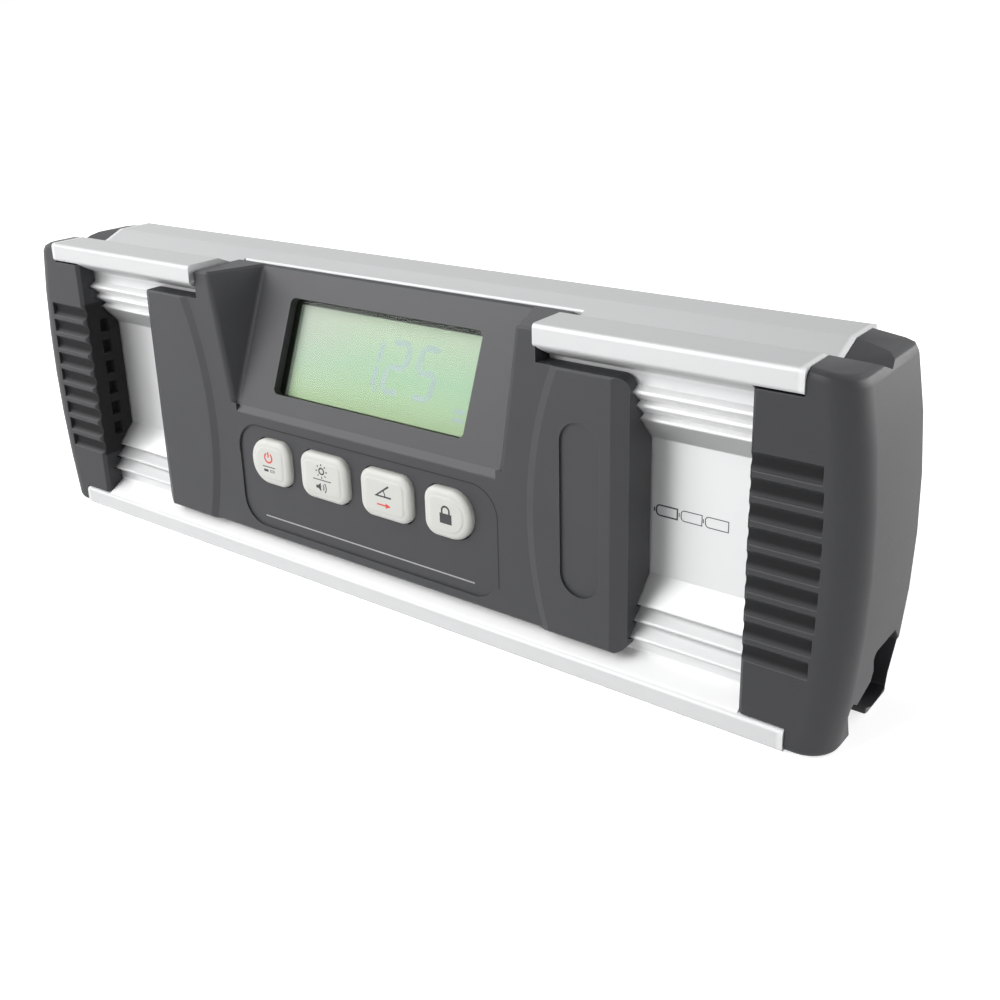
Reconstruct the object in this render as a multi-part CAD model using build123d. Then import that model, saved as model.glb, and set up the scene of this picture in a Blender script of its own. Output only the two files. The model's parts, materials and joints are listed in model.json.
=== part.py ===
from build123d import *
import os
from math import atan2, cos, degrees, radians, sin

os.makedirs("parts", exist_ok=True)

# Lengths are in millimetres. X runs along the beam, Y from front to back, Z up.
# Depths are measured from the front of the lips, heights from the bottom face.

# Clearances
slip_gap = 0.3
rib_gap = 0.5
thin_gap = 0.1
touch_gap = 0.2

# Beam
beam_length = 200.0
beam_height = 71.0
beam_depth = 30.5
beam_wall = 1.8
lip_height = 4.5
lip_reach = 5.6
lip_round = 0.9
rib_count = 3
rib_pitch = 2.9
rib_step = 1.45
rib_drop = 6.2
rib_rise = 0.9
rib_nose_depth = 3.4
rib_notch = 3.2
rib_flank = 2.3
rib_round = 0.45
web_depth = 11.0
web_run = 5.1
land_width = 9.2
groove_depth = 2.6
notch_half = 47.7
notch_depth = 17.4
notch_floor = 34.0
notch_bevel = 0.3

# Display housing
wing_half = 67.0
wing_gap = 3.3
wing_front = 0.7
wing_bevel_x = 3.0
wing_bevel_y = 1.7
wing_round = 2.5
panel_drop = 0.65
ridge_top_half = 51.2
ridge_mid_half = 44.9
ridge_low_half = 48.6
ridge_slope = 1.9
housing_wall = 2.0
arm_inset = 1.3
face_tilt = 21.8
face_depth = 2.4
face_height = 39.1
face_half = 38.0
face_bevel = 1.5
lip_inset = 0.6
valley_round = 0.8
arm_round = 1.4
top_bevel = 0.5
rear_bevel = 2.2
rear_drop = 1.5
wing_edge_round = 0.5
wing_edge_bevel = 0.4
bevel_round = 1.0
arm_top_half = 43.0
window_half = 27.3
window_low = 4.2
window_margin = 6.55
window_round = 1.4
label_x = 57.3
label_width = 8.8
label_length = 35.8
label_depth = 0.5
boss_half = 2.4
pilot_radius = 1.0

# Keypad
keypad_half = 37.5
keypad_low = 10.0
keypad_high = 35.2
keypad_round = 6.5
keypad_depth = 0.4
key_height = 27.2
key_tall = 11.0
key_shift = -0.7
inner_key_x = 9.1
inner_key_width = 14.3
outer_key_x = 26.0
outer_key_width = 12.3
key_round = 3.2
key_big_round = 5.3
key_top_depth = 0.1
key_bevel = 1.1
key_bevel_drop = 0.45
key_flange = 0.9
key_flange_thick = 0.8
key_travel = 0.6
mat_border = 1.6
mat_rim = 1.0
mat_room = 0.8
pill_half = 2.5

# Display stack, measured from the tilted face inwards
lens_thick = 1.2
lens_border = 2.0
lcd_side = 3.7
lcd_border = 2.4
lcd_thick = 2.2
lcd_ledge = 2.5
light_thick = 2.5
holder_wall = 1.4
holder_back = 1.2
ear_reach = 6.2
ear_tall = 6.0
ear_thick = 1.5
flex_width = 36.0
flex_thick = 0.25
flex_foot = 0.8

# Board
board_margin = 2.25
board_low = 19.3
board_high = 36.2
board_thick = 1.6
screw_radius = 0.9
screw_head_radius = 1.8
screw_head = 1.2
screw_grip = 3.0
chip_x = -12.0
chip_size = 10.0
chip_thick = 1.2
sensor_x = 4.0
sensor_size = 5.0
buzzer_x = 22.0
buzzer_size = 9.0
buzzer_thick = 2.4
gasket_width = 2.0

# End caps
cap_inset = 0.4
cap_clear = 0.1
cap_panel_reach = 9.0
cap_shoulder = 8.5
cap_slope = 1.2
cap_belly = 11.29
belly_height = 37.6
belly_spans = 6
cap_foot = 7.9
cap_front_round = 6.0
cap_rear_round = 2.6
cap_edge_round = 1.8
cap_foot_round = 1.2
grip_count = 9
grip_pitch = 4.5
grip_radius = 1.9
grip_deep = 1.1
grip_setback = 6.75
panel_edge_bevel = 0.8
plug_length = 9.0
plug_wall = 2.2
seal_width = 2.0
seal_bite = 0.8
seal_set = 4.0
strap_wall = 1.2
strap_mouth_front = 11.2
strap_mouth_rear = 17.4
strap_nose_depth = 10.4
strap_nose_height = 1.2
strap_throat_depth = 6.7
strap_throat_height = 7.2
strap_roof_depth = 7.4
strap_roof_height = 9.8
strap_tooth_depth = 10.5
strap_tooth_height = 7.6
strap_step_depth = 15.5
strap_step_low = 10.0
strap_step_high = 12.4
strap_heel_depth = 13.8
strap_crown_height = 16.5
strap_shoulder = 4.5
strap_round = 1.2
strap_deep = 7.0
cap_heel_round = 4.5
core_count = 6
core_pitch = 5.6
core_width = 2.5
core_tall = 3.4
core_deep = 2.0

# Battery
cell_radius = 5.2
cell_length = 44.5
cell_count = 3
nub_radius = 1.9
nub_length = 1.0
tube_wall = 1.3
tube_end = 2.0
tube_inset = 9.5
contact_thick = 0.4
contact_width = 5.0
spring_room = 6.6
lead_half = 0.5
lead_x = 34.2
lead_rise = 36.2
lead_foot = 6.0
lead_bend = 2.0

front_y = -beam_depth / 2
beam_half = beam_length / 2


def depth(d):
    return front_y + d


def yz_face(points):
    outline = Polyline(*[(depth(d), z) for d, z in points], close=True)
    return Plane.YZ * make_face(outline)


def front_plane(d):
    return Plane((0, depth(d), 0), x_dir=(1, 0, 0), z_dir=(0, -1, 0))


def block(x0, x1, d0, d1, z0, z1):
    solid = Box(x1 - x0, d1 - d0, z1 - z0)
    return Pos((x0 + x1) / 2, depth((d0 + d1) / 2), (z0 + z1) / 2) * solid


def front_rod(x, z, radius, d0, d1):
    rod = extrude(front_plane(d1) * Pos(x, z) * Circle(radius), amount=d1 - d0)
    return rod


def upside_down(points):
    return [(d, beam_height - z) for d, z in reversed(points)]


# The stepped front of the beam from the root of the top lip down to the web
def rib_steps(shift):
    nose_z = beam_height - lip_height - rib_drop
    points = [(lip_reach, beam_height - lip_height), (lip_reach, nose_z + rib_rise)]
    for i in range(rib_count):
        nose_d = rib_nose_depth + i * rib_step
        points.append((nose_d, nose_z - i * rib_pitch))
        if i < rib_count - 1:
            points.append((nose_d + rib_notch, nose_z - i * rib_pitch - rib_flank))
    points.append((web_depth, nose_z - (rib_count - 1) * rib_pitch - web_run))
    return [(d - shift, z) for d, z in points]


first_nose_z = beam_height - lip_height - rib_drop
web_top = first_nose_z - (rib_count - 1) * rib_pitch - web_run
web_low = beam_height - web_top
chamber_top = beam_height - groove_depth - beam_wall
chamber_front = lip_reach + 1.5 * beam_wall
chamber_web = web_depth + beam_wall
chamber_back = beam_depth - beam_wall


def chamber_face(inset):
    upper = [
        (chamber_back - inset, chamber_top - inset),
        (chamber_front + inset, chamber_top - inset),
        (chamber_front + inset, first_nose_z + 0.3 * inset),
        (chamber_web + inset, web_top + 0.6 * beam_wall + 0.3 * inset),
    ]
    return yz_face(upper + upside_down(upper))


def groove_points(surface, deepen, side):
    a = (land_width - deepen, surface)
    b = (beam_depth / 2, surface - side * (groove_depth + deepen))
    c = (beam_depth - land_width + deepen, surface)
    return [a, b, c]


# Beam extrusion
steps = rib_steps(0)
front_line = [(0, beam_height), (0, beam_height - lip_height)] + steps
bottom_line = groove_points(0, 0, -1)
top_line = list(reversed(groove_points(beam_height, 0, 1)))
rear_line = [(beam_depth, 0), (beam_depth, beam_height)]
section = yz_face(front_line + upside_down(front_line) + bottom_line + rear_line + top_line)
section = fillet(section.vertices().group_by(Axis.Y)[0], lip_round)
nose_depths = [rib_nose_depth + i * rib_step for i in range(rib_count)]
noses = [v for v in section.vertices() if min(abs(v.Y - depth(d)) for d in nose_depths) < 0.01]
section = fillet(noses, rib_round)
section = section - chamber_face(0)
beam = extrude(section, amount=beam_half, both=True)
beam = beam - block(-notch_half, notch_half, -1, notch_depth, notch_floor, beam_height + 1)
groove_rise = groove_depth / (beam_depth / 2 - land_width)
rim_height = beam_height - groove_depth + (notch_depth - beam_depth / 2) * groove_rise
rim_edges = [
    e
    for e in beam.edges().filter_by(Axis.X)
    if abs(e.center().Y - depth(notch_depth)) < 0.01 and abs(e.center().Z - rim_height) < 0.01
]
beam_extrusion = chamfer(rim_edges, notch_bevel)

# Display housing: the slab that lies in the channel, its back shaped to the ribs
wing_low = lip_height + wing_gap
wing_top = beam_height - wing_low
wing_tall = wing_top - wing_low
mid_height = beam_height / 2
panel_front = wing_front + panel_drop
rear_line = [(lip_reach - rib_gap, wing_top)] + rib_steps(rib_gap)[1:]
slab_line = [
    (wing_front + wing_edge_bevel, wing_low),
    (wing_front, wing_low + wing_edge_bevel),
    (wing_front, wing_top - wing_edge_bevel),
    (wing_front + wing_edge_bevel, wing_top),
]
slab_line = slab_line + rear_line + upside_down(rear_line)
slab = extrude(yz_face(slab_line), amount=wing_half, both=True)
plan = Polyline(
    (-wing_half, depth(web_depth)),
    (-wing_half, depth(wing_front + wing_bevel_y)),
    (-wing_half + wing_bevel_x, depth(wing_front)),
    (wing_half - wing_bevel_x, depth(wing_front)),
    (wing_half, depth(wing_front + wing_bevel_y)),
    (wing_half, depth(web_depth)),
    close=True,
)
slab = slab & extrude(make_face(plan), amount=beam_height)
rounded = Pos(0, mid_height) * RectangleRounded(2 * wing_half, wing_tall, wing_round)
slab = slab & extrude(front_plane(web_depth) * rounded, amount=web_depth)


# The hollow between the wings, bounded by two curved ridges
def ridge_face(d, widen):
    low = wing_low - 1
    top = wing_top + 1
    right = ThreePointArc(
        (ridge_low_half + widen, low),
        (ridge_mid_half + widen, mid_height),
        (ridge_top_half + widen, top),
    )
    left = ThreePointArc(
        (-ridge_top_half - widen, top),
        (-ridge_mid_half - widen, mid_height),
        (-ridge_low_half - widen, low),
    )
    above = Line(right @ 1, left @ 0)
    below = Line(left @ 1, right @ 0)
    return front_plane(d) * make_face([right, above, left, below])


ridge_cut = loft([ridge_face(panel_front, 0), ridge_face(panel_front - 2 * panel_drop, 2 * ridge_slope)])
slab = slab - ridge_cut

# The block that rises through the notch and carries the display
arm_top = beam_height - arm_inset
rise_half = notch_half - slip_gap
rise_back = notch_depth - slip_gap
housing = slab + block(-rise_half, rise_half, panel_front, rise_back, notch_floor + slip_gap, arm_top)

# The valley between the arms: its floor is the tilted display face, its sides flare outwards
tilt_sin = sin(radians(face_tilt))
tilt_cos = cos(radians(face_tilt))
top_floor = face_depth + (arm_top - face_height) * tilt_sin / tilt_cos
flare = (arm_top_half - face_half) / (top_floor - panel_front) / tilt_cos
valley_high = beam_depth
valley_line = Polyline(
    (-face_half, 0),
    (face_half, 0),
    (face_half + flare * valley_high, valley_high),
    (-face_half - flare * valley_high, valley_high),
    close=True,
)
slope_plane = Plane(
    (0, depth(face_depth), face_height),
    x_dir=(-1, 0, 0),
    z_dir=(0, tilt_sin, tilt_cos),
)
valley_face = make_face(valley_line)
valley = extrude(slope_plane * valley_face, amount=beam_height)
lip_line = [
    (face_depth, face_height),
    (panel_front, face_height - face_bevel),
    (panel_front - 2, face_height - face_bevel),
    (panel_front - 2, face_height + 2),
]
lip_half = face_half - lip_inset
housing = housing - valley - extrude(yz_face(lip_line), amount=lip_half, both=True)


# Rounds on the edges that are seen
def at_depth(edge, d):
    return max(abs((edge @ t).Y - depth(d)) for t in (0, 0.5, 1)) < 0.02


def at_height(edge, z):
    return max(abs((edge @ t).Z - z) for t in (0, 0.5, 1)) < 0.02


def arm_edges():
    return [
        e
        for e in housing.edges()
        if at_depth(e, panel_front) and face_half < abs(e.center().X) < arm_top_half and e.length > 10
    ]


def valley_edges():
    return [
        e
        for e in housing.edges()
        if abs(abs((e @ 0).X) - face_half) < 0.01 and abs((e @ 0).X - (e @ 1).X) < 0.01 and e.length > 10
    ]


housing = fillet(arm_edges(), arm_round)
housing = fillet(valley_edges(), valley_round)
top_edges = [e for e in housing.edges() if at_height(e, arm_top) and not at_depth(e, rise_back)]
housing = chamfer(top_edges, top_bevel)
rear_slope = [
    (rise_back - 2 * rear_bevel, arm_top + rear_drop),
    (rise_back + rear_bevel, arm_top - 2 * rear_drop),
    (rise_back + rear_bevel, arm_top + rear_drop),
]
housing = housing - extrude(yz_face(rear_slope), amount=rise_half + 1, both=True)
low_edges = [e for e in housing.edges() if at_depth(e, panel_front) and at_height(e, wing_low)]
housing = chamfer(low_edges, wing_edge_bevel)
bevel_line = wing_half - wing_bevel_x - thin_gap
ridge_edges = [
    e
    for e in housing.edges()
    if at_depth(e, wing_front) and e.length > wing_tall / 2 and abs(e.center().X) < bevel_line
]
housing = fillet(ridge_edges, wing_edge_round)
housing = fillet([e for e in housing.edges() if at_height(e, face_height - face_bevel)], bevel_round)

# Everything of the display is laid out on the tilted face: x, along the slope, inwards
face_normal = (0, -tilt_cos, tilt_sin)
face_plane = Plane((0, depth(face_depth), face_height), x_dir=(1, 0, 0), z_dir=face_normal)


def face_block(x0, x1, y0, y1, in0, in1):
    solid = Box(x1 - x0, y1 - y0, in1 - in0)
    return face_plane * Pos((x0 + x1) / 2, (y0 + y1) / 2, -(in0 + in1) / 2) * solid


def face_rod(x, y, radius, in0, in1):
    return face_plane * Pos(x, y, -(in0 + in1) / 2) * Cylinder(radius, in1 - in0)


slope_length = (arm_top - face_height) / tilt_cos
window_high = slope_length - window_margin
window_mid = (window_low + window_high) / 2
window_tall = window_high - window_low
lcd_half = window_half + lcd_side
lcd_in = housing_wall + lens_thick + thin_gap
light_in = lcd_in + lcd_thick
back_in = light_in + light_thick
holder_in = back_in + holder_back
lcd_low = window_low - lcd_border
lcd_high = window_high + lcd_border
pocket_low = lcd_low - touch_gap
pocket_high = lcd_high + touch_gap
pocket_half = lcd_half + touch_gap
holder_low = pocket_low - holder_wall
holder_high = pocket_high + holder_wall
holder_half = pocket_half + holder_wall
ear_half = holder_half + ear_reach
ear_x = holder_half + ear_reach / 2
ear_in = back_in - ear_thick
cavity_half = ear_half + slip_gap

# Hollow the housing from behind
housing = housing - face_block(
    -cavity_half, cavity_half, holder_low - slip_gap, holder_high + slip_gap, housing_wall, 4 * holder_in
)
pad_floor = panel_front + keypad_depth
panel_back = pad_floor + housing_wall
board_front = panel_back + mat_border + mat_room
mat_half = outer_key_x + outer_key_width / 2 + key_flange + slip_gap + mat_rim
board_screw_x = mat_half + abs(key_shift) + slip_gap + boss_half
board_half = board_screw_x + board_margin
board_mid = (board_low + board_high) / 2
board_back = board_front + board_thick
cavity_low = board_low - slip_gap
housing = housing - block(
    -board_half - 1, board_half + 1, panel_back, web_depth, cavity_low, face_height - face_bevel
)
wing_pocket_half = (wing_half - wing_bevel_x - rise_half - 2 * housing_wall) / 2
for side in (-1, 1):
    x = side * (rise_half + housing_wall + wing_pocket_half)
    housing = housing - block(
        x - wing_pocket_half,
        x + wing_pocket_half,
        panel_front + housing_wall,
        web_depth,
        web_low,
        web_top,
    )

# Openings in the front
window_cut = Pos(0, window_mid) * RectangleRounded(2 * window_half, window_tall, window_round)
housing = housing - extrude(face_plane * window_cut, amount=-housing_wall - 0.5)
pad_mid = (keypad_low + keypad_high) / 2
pad_shape = RectangleRounded(2 * keypad_half, keypad_high - keypad_low, keypad_round)
housing = housing - extrude(front_plane(pad_floor) * Pos(0, pad_mid) * pad_shape, amount=keypad_depth + 1)


# A key's outline: the two corners on its outer side may be rounder than the others
def key_outline(x, width, left_round, right_round, grow):
    shape = Rectangle(width + 2 * grow, key_tall + 2 * grow)
    shape = fillet(shape.vertices().group_by(Axis.X)[0], left_round + grow)
    shape = fillet(shape.vertices().group_by(Axis.X)[-1], right_round + grow)
    return Pos(x + key_shift, key_height) * shape


def key_holes(grow, d0, d1):
    first = key_outline(-outer_key_x, outer_key_width, key_big_round, key_round, grow)
    second = key_outline(-inner_key_x, inner_key_width, key_round, key_round, grow)
    third = key_outline(inner_key_x, inner_key_width, key_round, key_round, grow)
    fourth = key_outline(outer_key_x, outer_key_width, key_round, key_big_round, grow)
    cuts = [extrude(front_plane(d1) * shape, amount=d1 - d0) for shape in (first, second, third, fourth)]
    return cuts


for hole in key_holes(slip_gap, panel_front - 1, panel_back + 1):
    housing = housing - hole
label_shape = Pos(label_x, mid_height) * SlotOverall(label_length, label_width, rotation=90)
housing = housing - extrude(front_plane(wing_front + label_depth) * label_shape, amount=label_depth + 1)

# Bosses for the board and for the display holder
for x in (-board_screw_x, board_screw_x):
    housing = housing + block(
        x - boss_half, x + boss_half, panel_back, board_front, board_mid - boss_half, board_mid + boss_half
    )
    housing = housing - front_rod(x, board_mid, pilot_radius, panel_back + slip_gap, board_front)
for x in (-ear_x, ear_x):
    housing = housing + face_block(
        x - boss_half,
        x + boss_half,
        window_mid - boss_half,
        window_mid + boss_half,
        housing_wall - touch_gap,
        ear_in,
    )
    housing = housing - face_rod(x, window_mid, pilot_radius, housing_wall + slip_gap, ear_in)
display_housing = housing

# Two foam strips between the back of the housing and the web, beside the notch
housing_gasket = []
for side in (-1, 1):
    x = side * (notch_half + gasket_width / 2)
    housing_gasket.append(
        block(x - gasket_width / 2, x + gasket_width / 2, web_depth - rib_gap, web_depth, web_low, web_top)
    )

# Display stack
lens_low = window_low - lens_border
lens_high = window_high + lens_border
lens_half = window_half + lens_border
lens_back = housing_wall + lens_thick
display_window = face_block(-lens_half, lens_half, lens_low, lens_high, housing_wall, lens_back)
lcd_panel = face_block(-lcd_half, lcd_half, lcd_low, lcd_high, lcd_in, light_in)
lcd_panel = lcd_panel - face_block(
    -2 * lcd_half, 2 * lcd_half, lcd_low - 1, lcd_low + lcd_ledge, lcd_in - 1, lcd_in + lcd_thick / 2
)
lcd_backlight = face_block(1 - lcd_half, lcd_half - 1, lcd_low, lcd_high, light_in, back_in)
holder = face_block(-holder_half, holder_half, holder_low, holder_high, housing_wall, holder_in)
holder = holder - face_block(
    -pocket_half, pocket_half, pocket_low, pocket_high, housing_wall - 1, back_in
)
holder = holder - face_block(
    -flex_width / 2 - 1, flex_width / 2 + 1, holder_low - 1, pocket_low + 1, lcd_in, light_in
)
for side in (-1, 1):
    near, far = sorted([side * (holder_half - thin_gap), side * ear_half])
    holder = holder + face_block(
        near, far, window_mid - ear_tall / 2, window_mid + ear_tall / 2, ear_in, back_in
    )
    holder = holder - face_rod(side * ear_x, window_mid, pilot_radius, ear_in - 1, back_in + 1)
lcd_holder = holder
holder_screws = []
for x in (-ear_x, ear_x):
    shank = face_rod(x, window_mid, screw_radius, ear_in - screw_grip, back_in)
    head = face_rod(x, window_mid, screw_head_radius, back_in, back_in + screw_head)
    holder_screws.append(shank + head)

# Flat cable from the ledge of the display down to the front of the board
ledge_in = lcd_in + lcd_thick / 2
ledge = face_plane * Pos(0, lcd_low + lcd_ledge / 2, -ledge_in)
ledge_d = ledge.position.Y - front_y
ledge_z = ledge.position.Z
tail = face_plane * Pos(0, lcd_low - 0.4, -ledge_in)
tail_d = tail.position.Y - front_y
tail_z = tail.position.Z
flex_line = [
    (ledge_d, ledge_z),
    (tail_d, tail_z),
    (board_front, board_high + thin_gap),
    (board_front, board_high - flex_foot),
    (board_front - flex_thick, board_high - flex_foot),
    (board_front - flex_thick, board_high + touch_gap),
    (tail_d - flex_thick, tail_z + 0.1),
    (ledge_d - flex_thick, ledge_z + 0.1),
]
lcd_flex = extrude(yz_face(flex_line), amount=flex_width / 2, both=True)

# Board and the parts on its back
board = block(-board_half, board_half, board_front, board_back, board_low, board_high)
for x in (-board_screw_x, board_screw_x):
    board = board - front_rod(x, board_mid, pilot_radius, board_front - 1, board_back + 1)
main_board = board
board_screws = []
for x in (-board_screw_x, board_screw_x):
    shank = front_rod(x, board_mid, screw_radius, board_front - screw_grip + 1, board_back)
    head = front_rod(x, board_mid, screw_head_radius, board_back, board_back + screw_head)
    board_screws.append(shank + head)


def make_chip(x, size, thick):
    half = size / 2
    return block(x - half, x + half, board_back, board_back + thick, board_mid - half, board_mid + half)


mcu_chip = make_chip(chip_x, chip_size, chip_thick)
tilt_sensor = make_chip(sensor_x, sensor_size, chip_thick)
buzzer = make_chip(buzzer_x, buzzer_size, buzzer_thick)

# Keys, each with a flange behind the panel and a pill that faces the board
flange_front = panel_back + thin_gap
flange_back = flange_front + key_flange_thick
flange_low = key_height - key_tall / 2 - key_flange
flange_high = key_height + key_tall / 2 + key_flange


def make_key(x, width, left_round, right_round):
    outline = key_outline(x, width, left_round, right_round, 0)
    key = extrude(front_plane(flange_back) * outline, amount=flange_back - key_top_depth)
    top = key.faces().sort_by(Axis.Y)[0]
    key = chamfer(top.edges(), length=key_bevel_drop, length2=key_bevel, reference=top)
    mid = x + key_shift
    half = width / 2 + key_flange
    key = key + block(mid - half, mid + half, flange_front, flange_back, flange_low, flange_high)
    pill_back = board_front - key_travel - touch_gap
    low = key_height - pill_half
    high = key_height + pill_half
    return key + block(mid - pill_half, mid + pill_half, flange_back, pill_back, low, high)


key_power = make_key(-outer_key_x, outer_key_width, key_big_round, key_round)
key_light = make_key(-inner_key_x, inner_key_width, key_round, key_round)
key_mode = make_key(inner_key_x, inner_key_width, key_round, key_round)
key_hold = make_key(outer_key_x, outer_key_width, key_round, key_big_round)

# Silicone mat: a sheet with holes for the flanges and a rim that stands on the board
mat_low = flange_low - slip_gap - mat_rim
mat_high = flange_high + slip_gap + mat_rim
mat_back = panel_back + mat_border
mat_left = key_shift - mat_half
mat_right = key_shift + mat_half
mat = block(mat_left, mat_right, panel_back, board_front, mat_low, mat_high)
mat = mat - block(
    mat_left + mat_rim, mat_right - mat_rim, mat_back, web_depth, mat_low + mat_rim, mat_high - mat_rim
)
key_places = [
    (-outer_key_x, outer_key_width),
    (-inner_key_x, inner_key_width),
    (inner_key_x, inner_key_width),
    (outer_key_x, outer_key_width),
]
for x, width in key_places:
    mid = x + key_shift
    half = width / 2 + key_flange + slip_gap
    mat = mat - block(
        mid - half, mid + half, panel_back - 1, mat_back + 1, flange_low - slip_gap, flange_high + slip_gap
    )
keypad_mat = mat

# End caps: the right one is modelled and the left one mirrored from it
cap_low = cap_clear
cap_high = beam_height - cap_clear
cap_back = beam_depth - cap_inset
cap_tilt = degrees(atan2(cap_slope, cap_shoulder))
round_share = 1 - cos(radians(45))


# How far the end of the cap stands out at a height
def cap_reach(z):
    rise = z - belly_height
    far, span = (cap_shoulder, cap_high - belly_height) if rise > 0 else (cap_foot, belly_height - cap_low)
    return cap_belly - (cap_belly - far) * (rise / span) ** 2


# The cap seen from above at a height, drawn in by the rounds of its top and foot
def cap_section(z, inset, tilt):
    reach = cap_reach(z) - inset
    low_y = depth(cap_inset + inset)
    high_y = depth(cap_back - inset)
    bend = cap_rear_round - inset
    outline = Polyline(
        (0, low_y),
        (reach, low_y),
        (reach, high_y - bend),
        (reach - round_share * bend, high_y - round_share * bend),
        (reach - bend, high_y),
        (0, high_y),
        close=True,
    )
    shape = make_face(outline)
    front_corner = shape.vertices().group_by(Axis.Y)[0].sort_by(Axis.X)[-1]
    shape = fillet([front_corner], cap_front_round - inset)
    lean = radians(tilt)
    plane = Plane((beam_half, 0, z), x_dir=(cos(lean), 0, -sin(lean)), z_dir=(sin(lean), 0, cos(lean)))
    return plane * shape


cap_sections = []
for rise, inset in ((0, 1), (round_share, round_share), (1, 0)):
    cap_sections.append(cap_section(cap_low + rise * cap_foot_round, inset * cap_foot_round, 0))
belly_low = cap_low + cap_foot_round
belly_high = cap_high - cap_edge_round
for i in range(1, belly_spans):
    z = belly_low + (belly_high - belly_low) * i / belly_spans
    cap_sections.append(cap_section(z, 0, 0))
for drop, inset in ((1, 0), (round_share, round_share), (0, 1)):
    cap_sections.append(cap_section(cap_high - drop * cap_edge_round, inset * cap_edge_round, cap_tilt))
cap = loft(cap_sections, ruled=True)
panel_low = lip_height + slip_gap
panel_high = beam_height - panel_low
rear_line = [(lip_reach - rib_gap, panel_high)] + rib_steps(rib_gap)[1:]
panel_line = [(cap_inset, panel_low), (cap_inset, panel_high)] + rear_line + upside_down(rear_line)
panel = extrude(yz_face(panel_line), amount=cap_panel_reach + 1)
panel = Pos(beam_half - cap_panel_reach, 0, 0) * panel
inner_edge = [
    edge
    for edge in panel.edges().filter_by(Axis.Z).group_by(Axis.Y)[0]
    if edge.center().X < beam_half - cap_panel_reach + 0.1
]
panel = chamfer(inner_edge, panel_edge_bevel)
cap = cap + panel
for line in (groove_points(cap_high, 0, 1), groove_points(cap_low, 0, -1)):
    cut = extrude(yz_face(line), amount=cap_belly + 2)
    cap = cap - Pos(beam_half - 1, 0, 0) * cut

# Grip scoops in the front of the cap, shorter where the end of the cap draws back
grip_low = mid_height - (grip_count - 1) / 2 * grip_pitch
for i in range(grip_count):
    z = grip_low + i * grip_pitch
    reach = cap_panel_reach + 1 + cap_reach(z) - grip_setback
    scoop = Rot(0, 90, 0) * Cylinder(grip_radius, reach)
    x = beam_half - cap_panel_reach - 1 + reach / 2
    cap = cap - Pos(x, depth(cap_inset + grip_deep - grip_radius), z) * scoop

# The heel of the foot is rounded at the back
heel_line = [
    (cap_back, cap_low + cap_heel_round),
    (cap_back - round_share * cap_heel_round, cap_low + round_share * cap_heel_round),
    (cap_back - cap_heel_round, cap_low),
    (cap_back - cap_heel_round, -1),
    (beam_depth + 1, -1),
    (beam_depth + 1, cap_low + cap_heel_round),
]
cap = cap - Pos(beam_half, 0, 0) * extrude(yz_face(heel_line), amount=2 * cap_belly)

# Strap notch in the foot of the cap: open below the groove, closed by thin walls at the back
strap_back = cap_back - strap_wall
strap_floor = cap_low + strap_wall
strap_curve = cap_heel_round - strap_wall
strap_line = [
    (strap_mouth_front, -1),
    (strap_nose_depth, strap_nose_height),
    (strap_throat_depth, strap_throat_height),
    (strap_roof_depth, strap_roof_height),
    (strap_tooth_depth, strap_tooth_height),
    (strap_step_depth, strap_step_low),
    (strap_step_depth, strap_step_high),
    (strap_heel_depth, strap_crown_height),
    (strap_back - strap_shoulder, strap_crown_height),
    (strap_back, strap_crown_height - strap_shoulder),
    (strap_back, strap_floor + strap_curve),
    (strap_back - round_share * strap_curve, strap_floor + round_share * strap_curve),
    (strap_back - strap_curve, strap_floor),
    (beam_depth - land_width, strap_floor),
    (strap_mouth_rear, strap_floor + (beam_depth - land_width - strap_mouth_rear) * groove_rise),
    (strap_mouth_rear, -1),
]
strap_face = yz_face(strap_line)
strap_corners = [
    v
    for v in strap_face.vertices()
    for d, z in (strap_line[3], strap_line[7])
    if abs(v.Y - depth(d)) < 0.01 and abs(v.Z - z) < 0.01
]
strap_face = fillet(strap_corners, strap_round)
strap_cut = extrude(strap_face, amount=strap_deep + 4)
cap = cap - Pos(beam_half + cap_belly - strap_deep, 0, 0) * strap_cut

# Core recesses in the side of the grip panel that faces the channel
core_low = mid_height - (core_count - 1) / 2 * core_pitch
for i in range(core_count):
    z = core_low + i * core_pitch
    x = beam_half - cap_panel_reach
    cap = cap - block(
        x - 1,
        x + core_deep,
        lip_reach - core_width / 4,
        lip_reach + core_width * 3 / 4,
        z - core_tall / 2,
        z + core_tall / 2,
    )

# Hollow plug that enters the beam, with a seal around it
plug = extrude(chamber_face(slip_gap) - chamber_face(slip_gap + plug_wall), amount=plug_length + 0.5)
seal_ring = chamber_face(thin_gap) - chamber_face(slip_gap + seal_bite)
seal = Pos(beam_half - seal_set - seal_width, 0, 0) * extrude(seal_ring, amount=seal_width)
cap = cap + Pos(beam_half - plug_length, 0, 0) * plug
seal_room = Pos(beam_half - seal_set - seal_width, 0, 0) * extrude(
    chamber_face(0) - chamber_face(slip_gap + seal_bite), amount=seal_width
)
cap = cap - seal_room
left_end_cap = mirror(cap, about=Plane.YZ)
left_cap_seal = mirror(seal, about=Plane.YZ)
right_cap_seal = seal

# Battery sleeve on the floor of the chamber
chamber_low = beam_height - chamber_top
bore_radius = cell_radius + slip_gap
cell_d = (chamber_web + chamber_back) / 2
cell_z = chamber_low + tube_wall + bore_radius
tube_top = cell_z + bore_radius + tube_wall
nub_end = beam_half - tube_inset + touch_gap
stack_end = nub_end - cell_count * cell_length
tube_left = stack_end - spring_room - tube_end
tube_right = beam_half - tube_inset
tube = block(
    tube_left, tube_right, chamber_web + slip_gap, chamber_back - slip_gap, chamber_low, tube_top
)


def beam_rod(radius, x0, x1):
    return Pos((x0 + x1) / 2, depth(cell_d), cell_z) * Rot(0, 90, 0) * Cylinder(radius, x1 - x0)


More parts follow.
